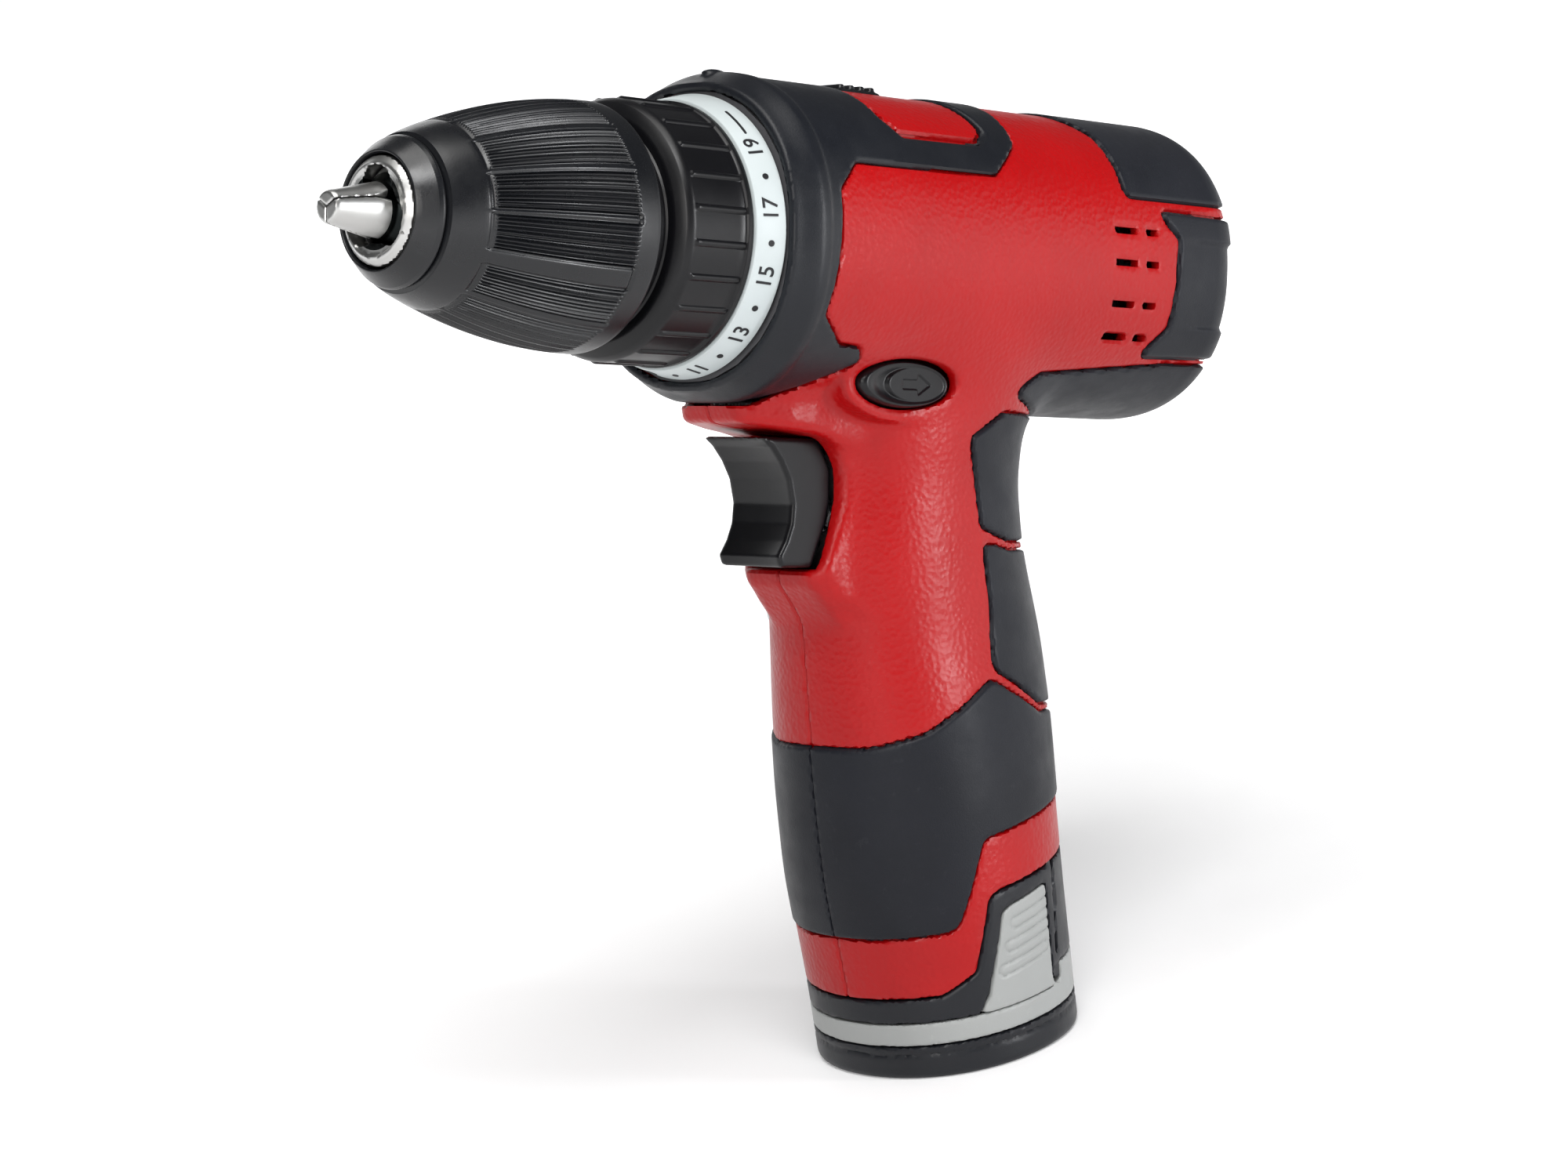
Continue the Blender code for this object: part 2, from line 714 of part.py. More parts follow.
def chuck():
    nut_front, nut_rear = -26.0, -19.0
    jaw_edge = JAW_R / math.cos(math.radians(JAW_TILT))
    waist = jaw_line(nut_front) + jaw_edge - 1.0
    body = turned([
        (CHUCK_FRONT, BORE_R), (CHUCK_FRONT, CHUCK_FACE_R - 1.2), (CHUCK_FRONT + 1.0, CHUCK_FACE_R),
        (NOSE_FRONT + 3.8, CHUCK_FACE_R), (nut_front - 1, waist), (nut_rear + 1, waist),
        (nut_rear + 1, CHUCK_REAR_R), (-1.0, CHUCK_REAR_R), (-1.0, SPINDLE_R + GAP), (-14.0, SPINDLE_R + GAP),
        (-14.0, BORE_R),
    ])
    for angle in JAW_ANGLES:
        cut(body, jaw_bar(JAW_R + GAP, JAW_APEX - 4, 72, angle))
    piece(baked(body), "chuck_body", STEEL)

    wall = sleeve_profile(0, SLEEVE_FRONT, SLEEVE_REAR)
    inner = sleeve_profile(-SLEEVE_WALL, SLEEVE_REAR - 2.0, SLEEVE_FRONT + 3.0, 4)
    hub = CHUCK_REAR_R + RUNNING
    sleeve = turned([
        *wall, (SLEEVE_REAR, hub), (SLEEVE_REAR - 2.0, hub), *inner,
        (SLEEVE_FRONT + 3.0, CHUCK_FACE_R + 2.2), (SLEEVE_FRONT, CHUCK_FACE_R + 2.2),
    ])
    piece(sleeve, "chuck_sleeve", BLACK)

    collar = turned([
        (NOSE_FRONT, NOSE_TIP_R + RUNNING), (NOSE_FRONT, NOSE_TIP_R + 0.9), (NOSE_FRONT + 3.6, NOSE_R),
        (SLEEVE_FRONT - GAP, NOSE_R), (SLEEVE_FRONT - GAP, CHUCK_FACE_R + RUNNING),
        (NOSE_FRONT + 0.6, CHUCK_FACE_R + RUNNING),
    ])
    piece(collar, "chuck_nose_collar", BLACK)

    reach = jaw_edge + GAP
    outer = sleeve_profile(-SLEEVE_WALL - GAP - 0.3, nut_front, nut_rear, 2)
    nut = turned([
        (nut_front, jaw_line(nut_front) + reach), *outer, (nut_rear, jaw_line(nut_rear) + reach),
    ])
    piece(nut, "chuck_nut", DARK_STEEL)

    for number, angle in enumerate(JAW_ANGLES, 1):
        jaw = jaw_bar(JAW_R, JAW_APEX - 6, JAW_LENGTH + 10, angle)
        # a third of the circle each, so that the three closed jaws meet at the spindle axis
        set_back = JAW_GAP / math.sin(math.pi / 3)
        apex = Vector((math.cos(angle), math.sin(angle))) * set_back
        sides = [Vector((math.cos(a), math.sin(a))) * 60 for a in (angle - math.pi / 3, angle + math.pi / 3)]
        keep(jaw, plate([[apex, apex + sides[0], apex + sides[1]]], -80, 20))
        cut(jaw, box((-90, -40, -40), (JAW_TIP, 40, 40)))
        jaw_end = JAW_TIP + JAW_LENGTH
        cut(jaw, box((jaw_end, -40, -40), (60, 40, 40)))
        tip_cone = turned([(JAW_TIP - 1, 0), (JAW_TIP - 1, 2.0), (JAW_TIP, 2.4), (CHUCK_FRONT + 1, 4.9),
                           (-10, 40), (-10, 0)], 36)
        keep(jaw, tip_cone)
        piece(baked(jaw), f"jaw_{number}", STEEL)


# ---------------------------------------------------------------- clutch ring and number ring

def clutch():
    grip = turned([
        (LIP_FRONT, NOSE_TUBE_R + RUNNING), (LIP_FRONT, LIP_R), (RING_FRONT, LIP_R),
        (RING_FRONT, RING_R - 1.2), (RING_FRONT + 1.4, RING_R), (SCALE_FRONT - 1.4, RING_R),
        (SCALE_FRONT - 1.4, RING_R + 0.6), (SCALE_FRONT - GAP, RING_R + 0.6),
        (SCALE_FRONT - GAP, SPRING_R + 2.6), (RING_FRONT + 3, SPRING_R + 2.6),
        (RING_FRONT + 3, NOSE_TUBE_R + RUNNING),
    ])
    width = 1.5
    for i in range(RING_RIBS):
        angle = 2 * math.pi * i / RING_RIBS
        rib = box((RING_FRONT + 1.6, -width / 2, RING_R - 0.8),
                  (SCALE_FRONT - 1.0, width / 2, RING_R + RING_RIB))
        rib.location = Vector(((RING_FRONT + SCALE_FRONT + 0.6) / 2, -math.sin(angle) * (RING_R + 0.05),
                               math.cos(angle) * (RING_R + 0.05))) * MM
        rib.rotation_euler = (angle, 0, 0)
        bpy.context.view_layer.update()
        join(grip, rib)
    piece(baked(grip), "torque_ring", BLACK)

    scale = turned([(SCALE_FRONT, RING_R - 3), (SCALE_FRONT, SCALE_FRONT_R), (SCALE_REAR, SCALE_REAR_R),
                    (SCALE_REAR, RING_R - 3)])
    piece(scale, "torque_scale", GREY)

    coil(SPRING_R, SPRING_WIRE, RING_FRONT + 4.6, FLANGE_FRONT - 1.4, SPRING_TURNS, "clutch_spring")


def coil(radius, wire, x0, x1, turns, name, at=(0.0, 0.0)):
    # a compression spring along the spindle's direction
    curve = bpy.data.curves.new(name, "CURVE")
    curve.dimensions = "3D"
    curve.bevel_depth = wire * MM
    curve.bevel_resolution = 1
    curve.use_fill_caps = True
    spline = curve.splines.new("POLY")
    count = 8 * turns
    spline.points.add(count)
    for i, point in enumerate(spline.points):
        angle = 2 * math.pi * turns * i / count
        x = x0 + (x1 - x0) * i / count
        y, z = at[0] + radius * math.cos(angle), at[1] + radius * math.sin(angle)
        point.co = (x * MM, y * MM, z * MM, 1)
    obj = bpy.data.objects.new(name, curve)
    CUTTERS.objects.link(obj)
    place(obj)
    piece(baked(obj), name, STEEL)


# ---------------------------------------------------------------- planetary gearbox

def involute(angle):
    return math.tan(angle) - angle


def gear_outline(teeth, inward=False, turn_by=0.0):
    # the ends of involute flanks; inward teeth are those of a ring gear
    pitch = MODULE * teeth / 2
    base = pitch * math.cos(math.radians(PRESSURE))
    tip = pitch + (-ADDENDUM if inward else ADDENDUM)
    root = pitch + (DEDENDUM if inward else -DEDENDUM)
    half = math.pi / (2 * teeth) - BACKLASH / (2 * pitch)

    def half_angle(radius):
        spread = involute(math.acos(min(1.0, base / max(radius, base))))
        change = involute(math.radians(PRESSURE)) - spread
        return half + (-change if inward else change)

    points = []
    radii = (root, tip)
    for tooth in range(teeth):
        middle = turn_by + 2 * math.pi * tooth / teeth
        flank = [(r, half_angle(r)) for r in radii]
        for r, a in flank:
            points.append((r * math.cos(middle - a), r * math.sin(middle - a)))
        for r, a in flank[::-1]:
            points.append((r * math.cos(middle + a), r * math.sin(middle + a)))
    return points


CARRIER_R = MODULE * (SUN_TEETH + PLANET_TEETH) / 2
RING_PITCH = MODULE * RING_TEETH / 2
RING_OUTER = RING_PITCH + DEDENDUM + 1.4
DISC_R = RING_PITCH - ADDENDUM - 0.6


def planets(stage, x0):
    for i in range(3):
        angle = 2 * math.pi * i / 3
        at = (CARRIER_R * math.cos(angle), CARRIER_R * math.sin(angle))
        turn_by = angle + math.pi / PLANET_TEETH
        holes = ellipse((0, 0), PIN_R + GAP, PIN_R + GAP, 10)
        gear = plate([gear_outline(PLANET_TEETH, turn_by=turn_by), holes], x0, x0 + FACE, at)
        piece(gear, f"planet_{stage}_{i + 1}", STEEL)


def carrier(x0, pins_to):
    disc = rod(x0, x0 + DISC, DISC_R, steps=32)
    for i in range(3):
        angle = 2 * math.pi * i / 3
        at = (CARRIER_R * math.cos(angle), CARRIER_R * math.sin(angle))
        join(disc, rod(x0 + DISC / 2, pins_to, PIN_R, at, 12))
    return disc


def gearbox():
    disc_two = STAGE_TWO - 0.6 - DISC
    shaft = turned([(-11, 0), (-11, SPINDLE_R), (disc_two + 1, SPINDLE_R), (disc_two + 1, 0)], 28)
    spindle = join(carrier(disc_two, STAGE_TWO + FACE), shaft)
    piece(baked(spindle), "output_spindle", STEEL)

    disc_one = STAGE_ONE - 0.6 - DISC
    sun = plate([gear_outline(SUN_TEETH)], STAGE_TWO, disc_one + 1)
    piece(baked(join(carrier(disc_one, STAGE_ONE + FACE), sun)), "carrier_1", STEEL)
    planets(2, STAGE_TWO)
    planets(1, STAGE_ONE)

    ring_rear = STAGE_ONE + FACE + 0.8
    outer = ellipse((0, 0), RING_OUTER, RING_OUTER, 36)
    ring = plate([outer, gear_outline(RING_TEETH, inward=True)], STAGE_TWO - 0.8, ring_rear)
    piece(ring, "ring_gear", STEEL)

    inner = RING_OUTER + GAP
    seat = BEARING_R + GAP
    case_rear = CAN_FRONT - 1.0
    case = turned([
        (RING_FRONT + 2.4, seat - 1.6), (RING_FRONT + 2.4, NOSE_TUBE_R), (FLANGE_FRONT, NOSE_TUBE_R),
        (FLANGE_FRONT, BARREL_R - WALL - GAP), (FLANGE_FRONT + 2.6, BARREL_R - WALL - GAP),
        (FLANGE_FRONT + 2.6, CASE_R), (case_rear, CASE_R), (case_rear, SHAFT_R + 3),
        (case_rear - CASE_WALL, SHAFT_R + 3), (case_rear - CASE_WALL, inner), (FLANGE_FRONT + 2.2, inner),
        (FLANGE_FRONT + 2.2, SPINDLE_R + 1.6), (BEARING_FRONT + BEARING_LENGTH + GAP, SPINDLE_R + 1.6),
        (BEARING_FRONT + BEARING_LENGTH + GAP, seat), (BEARING_FRONT - GAP, seat),
        (BEARING_FRONT - GAP, seat - 1.6),
    ])
    piece(case, "gearbox_case", INNER)
    bearing = tube(BEARING_FRONT, BEARING_FRONT + BEARING_LENGTH, SPINDLE_R + GAP, BEARING_R)
    piece(bearing, "front_bearing", STEEL)


# ---------------------------------------------------------------- motor

def motor():
    can_rear = CAN_FRONT + CAN_LENGTH
    inner = CAN_R - CAN_WALL
    hole = SHAFT_R + 1.2
    can = turned([(CAN_FRONT, hole), (CAN_FRONT, CAN_R), (can_rear, CAN_R), (can_rear, inner),
                  (CAN_FRONT + CAN_WALL, inner), (CAN_FRONT + CAN_WALL, hole)])
    piece(can, "motor_can", ZINC)
    cap = turned([(can_rear - 4, hole), (can_rear - 4, inner - GAP), (can_rear + GAP, inner - GAP),
                  (can_rear + GAP, CAN_R), (can_rear + 4, CAN_R), (can_rear + 6, 9), (can_rear + 6, hole)])
    piece(cap, "motor_end_cap", BLACK)

    pinion = plate([gear_outline(SUN_TEETH)], STAGE_ONE, STAGE_ONE + FACE)
    shaft = join(rod(STAGE_ONE + 1, SHAFT_END, SHAFT_R, steps=14), pinion)
    piece(baked(shaft), "motor_shaft", STEEL)

    slots = [(CORE_R if i % 4 else CORE_R - 4, 2 * math.pi * i / 28) for i in range(28)]
    core = plate([[(r * math.cos(a), r * math.sin(a)) for r, a in slots],
                  ellipse((0, 0), SHAFT_R + GAP, SHAFT_R + GAP, 14)], CORE_FRONT, CORE_FRONT + CORE_LENGTH)
    piece(core, "rotor_core", COPPER)

    fan = turned([(FAN_FRONT, SHAFT_R + GAP), (FAN_FRONT, FAN_R), (FAN_FRONT + 1.4, FAN_R),
                  (FAN_FRONT + 1.4, 5), (FAN_FRONT + 6, 4), (FAN_FRONT + 6, SHAFT_R + GAP)], 32)
    for i in range(FAN_BLADES):
        angle = 2 * math.pi * i / FAN_BLADES
        reach = (FAN_R + 3) / 2
        blade = box((FAN_FRONT + 1, -0.6, 3.5), (FAN_FRONT + 6, 0.6, FAN_R - 0.5))
        blade.location = Vector((FAN_FRONT + 3.5, -math.sin(angle) * reach, math.cos(angle) * reach)) * MM
        blade.rotation_euler = (angle, 0, 0)
        bpy.context.view_layer.update()
        join(fan, blade)
    piece(baked(fan), "cooling_fan", INNER)


# ---------------------------------------------------------------- controls

def speed_switch():
    front, rear = SWITCH_FRONT, SWITCH_FRONT + SWITCH_LENGTH
    knob = box((front, -SWITCH_HALF, 23), (rear, SWITCH_HALF, SWITCH_TOP - 1.2))
    for i in range(4):
        x = front + 1.4 + i * 2.6
        join(knob, box((x, -SWITCH_HALF + 0.6, 24), (x + 1.3, SWITCH_HALF - 0.6, SWITCH_TOP)))
    inner = CASE_R + GAP
    slide_low = max(inner + SHIFT_RING_WALL, CAN_R) + GAP
    join(knob, box((SHIFT_RING_FRONT, -SLIDE_HALF, slide_low + 0.1), (SLIDE_END, SLIDE_HALF, SLIDE_TOP)))
    piece(baked(knob), "speed_switch", BLACK)
    piece(tube(SHIFT_RING_FRONT, SHIFT_RING_FRONT + SHIFT_RING_WIDTH, inner, inner + SHIFT_RING_WALL),
          "shift_ring", STEEL)


def trigger():
    body = baked(rounded(prism(TRIGGER, TRIGGER_HALF), 1.6))
    x0, x1, half, low, high = SWITCH_BOX
    middle = (low + high) / 2
    stem_end = x0 - TRIGGER_TRAVEL - 0.5
    join(body, box((48, -5, middle - 6), (stem_end, 5, middle + 6)))
    piece(baked(body), "trigger", BLACK)
    coil(3.0, 0.45, stem_end + 0.8, x0 - 0.8, 4, "trigger_spring", (0.0, middle))
    piece(rounded(box((x0, -half, low), (x1, half, high)), 0.8, 1), "trigger_switch", INNER)
    oval = outline_solid([ellipse((BUTTON_X, BUTTON_Z), BUTTON_LENGTH, BUTTON_HEIGHT)], 2 * BUTTON_REACH,
                         (0, 0, 0), (math.pi / 2, 0, 0))
    piece(oval, "direction_button", BLACK)


# ---------------------------------------------------------------- battery pack

def cell_places():
    radius = CELL_SPREAD / math.sqrt(3)
    return [(STICK_X + radius * math.cos(a), radius * math.sin(a))
            for a in (math.pi, math.pi / 3, -math.pi / 3)]


def foot_plate(outlines, z0, z1):
    # outlines (x, y) in the standing frame with a height
    return outline_solid(outlines, z1 - z0, (0, 0, (z0 + z1) / 2), parent=None)


def stick_outline(margin):
    points = []
    for i in range(STICK_ROUND):
        a = 2 * math.pi * i / STICK_ROUND
        points.append((STICK_X + (STICK_HALF_X + margin) * squashed(math.cos(a), 2.2),
                       (STICK_HALF_Y + margin) * squashed(math.sin(a), 2.2)))
    return points


def battery():
    stick_top = CELL_BASE + CELL_LENGTH + 1.6
    pack = baked(handle(0))
    cut(pack, prism(grown([*SKIRT, (140, 30), (40, 30)], PACK_GAP), SIDE))
    keep(pack, foot_space((-60, -60, 0), (60, 60, 80)))
    pack = baked(pack)
    shape = copy_of(pack)

    # a charcoal cap, a pale belt above it and the case that holds the cells
    cap = keep(copy_of(shape), foot_space((-60, -60, -1), (60, 60, CAP_HEIGHT)))
    cut(cap, foot_plate([stick_outline(0.6)], CELL_BASE - 0.6 + 0.3, 20))
    piece(baked(cap), "battery_cap", BLACK)

    inner = baked(handle(-BELT_DEPTH))
    belt = keep(copy_of(shape), foot_space((-60, -60, CAP_HEIGHT + GAP), (60, 60, BELT_TOP)))
    cut(belt, copy_of(inner))
    piece(baked(belt), "battery_belt", GREY)

    floor = baked(handle(-BELT_DEPTH - GAP))
    case = copy_of(shape)
    cut(case, cut(foot_space((-60, -60, -9), (60, 60, BELT_TOP + GAP)), floor))
    cut(case, foot_space((-60, -60, -9), (60, 60, CAP_HEIGHT + GAP)))
    case = baked(case)
    join(case, foot_plate([stick_outline(0)], CELL_BASE + 0.1, stick_top))
    case = baked(case)
    bores = foot_plate([ellipse(p, CELL_R + CELL_GAP, CELL_R + CELL_GAP, 20) for p in cell_places()],
                       CELL_BASE - 2, CELL_BASE + CELL_LENGTH + GAP)
    cut(case, bores)
    skin = baked(handle(-LATCH_DEPTH - 0.3 - 2.2))
    for sign in (-1, 1):
        pocket = cut(prism(grown(LATCH, GAP), 20, sign * 34), copy_of(skin))
        cut(case, baked(pocket))
    piece(baked(case), "battery_case", BLACK)

    for number, (x, y) in enumerate(cell_places(), 1):
        cell = turned([(0, 0), (0, CELL_R), (CELL_LENGTH - 0.6, CELL_R), (CELL_LENGTH - 0.6, 3),
                       (CELL_LENGTH, 3), (CELL_LENGTH, 0)], 20, (x, y, CELL_BASE), None, upright=True)
        piece(cell, f"battery_cell_{number}", CELL_WRAP)

    back = baked(handle(-LATCH_DEPTH))
    for label, sign in (("left", -1), ("right", 1)):
        latch = baked(cut(keep(prism(LATCH, 20, sign * 34), baked(handle(0.2))), copy_of(back)))
        move_origin(latch, (LATCH_HINGE[0], sign * LATCH_HINGE[1], LATCH_HINGE[2]))
        piece(latch, f"battery_latch_{label}", GREY)


def terminals():
    low = CELL_BASE + CELL_LENGTH + 1.6 + 0.8
    block = keep(foot_space((-40, -40, low), (12, 40, low + 4.5)), handle(-BATTERY_WALL - GAP))
    piece(baked(block), "terminal_block", INNER)


shells()
cover()
for pad_name, pad_outline in PADS.items():
    side_parts(pad_name, pad_outline, CHARCOAL, [REAR_LOWER] if pad_name == "grip_pad_upper" else [])
screws()
chuck()
clutch()
gearbox()
motor()
speed_switch()
trigger()
battery()
terminals()
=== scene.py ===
import json
import math
import bmesh
import bpy
import numpy as np
from mathutils import Matrix, Vector


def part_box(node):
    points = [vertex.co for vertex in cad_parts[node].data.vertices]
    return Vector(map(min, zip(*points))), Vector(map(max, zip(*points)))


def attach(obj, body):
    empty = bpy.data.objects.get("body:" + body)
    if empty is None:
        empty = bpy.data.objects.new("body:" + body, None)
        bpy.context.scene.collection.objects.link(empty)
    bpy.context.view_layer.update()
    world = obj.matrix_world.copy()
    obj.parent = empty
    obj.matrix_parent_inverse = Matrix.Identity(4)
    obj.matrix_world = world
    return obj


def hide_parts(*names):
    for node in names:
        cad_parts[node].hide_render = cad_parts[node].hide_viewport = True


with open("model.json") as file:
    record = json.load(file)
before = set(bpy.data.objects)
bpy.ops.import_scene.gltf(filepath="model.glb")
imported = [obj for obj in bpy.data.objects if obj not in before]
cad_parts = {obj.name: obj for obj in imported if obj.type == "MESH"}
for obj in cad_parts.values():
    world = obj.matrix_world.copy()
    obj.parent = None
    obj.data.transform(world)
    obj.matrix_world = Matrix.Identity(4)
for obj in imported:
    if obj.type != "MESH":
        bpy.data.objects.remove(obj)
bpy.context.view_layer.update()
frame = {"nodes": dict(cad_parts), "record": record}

# The drill's own space runs along the spindle: x back from the chuck, z up, y across, in millimetres.
stance = {"leanDegrees": 13.5, "footX": 98.5, "footZ": -146.8}


def toWorld(points):
    # drill space to the frame: move the foot's middle to the origin, tip by the lean, millimetres to metres
    lean = math.radians(stance["leanDegrees"])
    p = np.asarray(points, float)
    x, z = p[..., 0] - stance["footX"], p[..., 2] - stance["footZ"]
    return np.stack([x * math.cos(lean) + z * math.sin(lean), p[..., 1],
                     -x * math.sin(lean) + z * math.cos(lean)], -1) / 1000


def addMesh(name, points, faces, sharp, turnOut=False):
    # drill-space points and faces as one smooth mesh, creased where faces meet at more than the sharp angle
    mesh = bpy.data.meshes.new(name)
    mesh.from_pydata(toWorld(points), [], faces if isinstance(faces, list) else faces.tolist())
    mesh.validate()
    if turnOut:
        work = bmesh.new()
        work.from_mesh(mesh)
        bmesh.ops.recalc_face_normals(work, faces=work.faces)
        work.to_mesh(mesh)
        work.free()
    obj = bpy.data.objects.new(name, mesh)
    bpy.context.scene.collection.objects.link(obj)
    mesh.shade_smooth()
    mesh.set_sharp_from_angle(angle=math.radians(sharp))
    return obj


def finishPiece(obj, body, slotName, finish, *nodes):
    # its finish, the body it moves with and the CAD nodes it stands in for; slotName, its material slot, is
    # not used
    obj.data.materials.clear()
    obj.data.materials.append(finishes[finish])
    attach(obj, body)
    if nodes:
        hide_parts(*nodes)
    return obj


# distance fields: negative inside, in millimetres

def roundMax(a, b, r):
    # the larger of two fields, with the crease between them turned to a radius r
    h = np.clip(0.5 + 0.5 * (a - b) / r, 0, 1)
    return b + (a - b) * h + r * h * (1 - h)


def roundMin(a, b, r):
    # the smaller of two fields, with a fillet of radius r where they meet
    return -roundMax(-a, -b, r)


def smoothTable(knots, values, spread):
    # straight lines between the knots, blurred by a moving bell so that no crease is left
    step, reach = 0.5, 24               # millimetres between entries, entries under each half of the bell
    t = np.arange(knots[0], knots[-1], step)
    v = np.interp(t, knots, values)
    k = np.exp(-0.5 * (np.arange(-reach, reach + 1) * step / spread) ** 2)
    k /= k.sum()
    padded = np.concatenate([2 * v[0] - v[reach:0:-1], v, 2 * v[-1] - v[-2:-reach - 2:-1]])
    return t, np.convolve(padded, k, "valid")


form = {
    # height, middle, half length, half width, squareness
    "handle": [(-172, 104, 24.6, 24.4, 2.1), (-152, 99.6, 25.0, 24.4, 2.1), (-136, 96, 25.7, 24.2, 2.1),
               (-116, 91, 27, 24.4, 2.1), (-100, 88.2, 27.3, 24.2, 2.1), (-85, 86.2, 27.5, 22.8, 2.2),
               (-70, 84, 27.3, 20.6, 2.3), (-54, 80.5, 25.5, 19.8, 2.3), (-41, 79.5, 24.5, 19.5, 2.3),
               (-30, 79, 26.5, 20.5, 2.3), (-14, 79, 25, 19, 2.2), (8, 79, 22, 12, 2.2)],
    "barrelHalfWidth": 28.0, "barrelHalfHeight": 28.5, "barrelSquareness": 2.2,
    "barrelTaper": ((20, 26, 31, 140, 147), (-1.9, -1.9, 0, 0, -0.6)),    # x, what is added to the radius
    "barrelRear": 147.2, "rearRound": 7.0, "handleTop": 6.0, "blend": 9.0, "wall": 2.2, "split": 0.04,
}
knots = np.array(form["handle"])
handleTables = [smoothTable(knots[:, 0], knots[:, i], 3.0) for i in range(1, 5)]


def superDistance(u, v, a, b, n):
    # how far (u, v) lies outside a superellipse, along the line from its middle
    rho = np.sqrt(u * u + v * v) + 1e-9
    q = (np.abs(u / a) ** n + np.abs(v / b) ** n) ** (1 / n) + 1e-9
    return rho * (1 - 1 / q)


def handleField(x, y, z):
    # a stack of superellipses whose middle, half sizes and squareness change with the height
    middle, a, b, n = [np.interp(z, t, v) for t, v in handleTables]
    return superDistance(x - middle, y, a, b, n)


def barrelField(x, y, z):
    # one superellipse along the spindle, tapered at both ends and closed by a rounded rear face
    f = form
    grow = np.interp(x, *f["barrelTaper"])
    side = superDistance(y, z, f["barrelHalfWidth"], f["barrelHalfHeight"], f["barrelSquareness"]) - grow
    return roundMax(side, x - f["barrelRear"], f["rearRound"])


def bodyField(x, y, z):
    # barrel and handle with a wide fillet between them; the handle ends inside the barrel
    handle = np.maximum(handleField(x, y, z), z - form["handleTop"])
    return roundMin(barrelField(x, y, z), handle, form["blend"])


def roundCorners(outline, r, steps=5):
    # each corner becomes a parabola that leaves its sides where an arc of radius r would touch them, and
    # takes no more than 0.45 of a side
    p = np.array(outline, float)
    result = []
    for i in range(len(p)):
        a, b, c = p[i - 1], p[i], p[(i + 1) % len(p)]
        u, v = (a - b) / np.linalg.norm(a - b), (c - b) / np.linalg.norm(c - b)
        half = math.acos(float(np.clip(u @ v, -0.9999, 0.9999))) / 2
        cutBack = min(r / math.tan(half), 0.45 * np.linalg.norm(a - b), 0.45 * np.linalg.norm(c - b))
        for t in np.linspace(0, 1, steps):
            result.append((1 - t) ** 2 * (b + u * cutBack) + 2 * t * (1 - t) * b + t * t * (b + v * cutBack))
    return np.array(result)


def outlineField(outline, u, v):
    # distance to a closed outline in the plane, negative inside; sides are counted to tell in from out
    p = np.asarray(outline, float)
    q = np.roll(p, -1, 0)
    shape = u.shape
    u, v = u.ravel(), v.ravel()
    best = np.full(u.shape, 1e9)
    inside = np.zeros(u.shape, bool)
    for (ax, ay), (bx, by) in zip(p, q):
        ex, ey = bx - ax, by - ay
        t = np.clip(((u - ax) * ex + (v - ay) * ey) / (ex * ex + ey * ey + 1e-12), 0, 1)
        best = np.minimum(best, (u - ax - t * ex) ** 2 + (v - ay - t * ey) ** 2)
        crosses = ((ay > v) != (by > v)) & (u < ex * (v - ay) / (by - ay + 1e-12) + ax)
        inside ^= crosses
    return (np.sqrt(best) * np.where(inside, -1, 1)).reshape(shape)


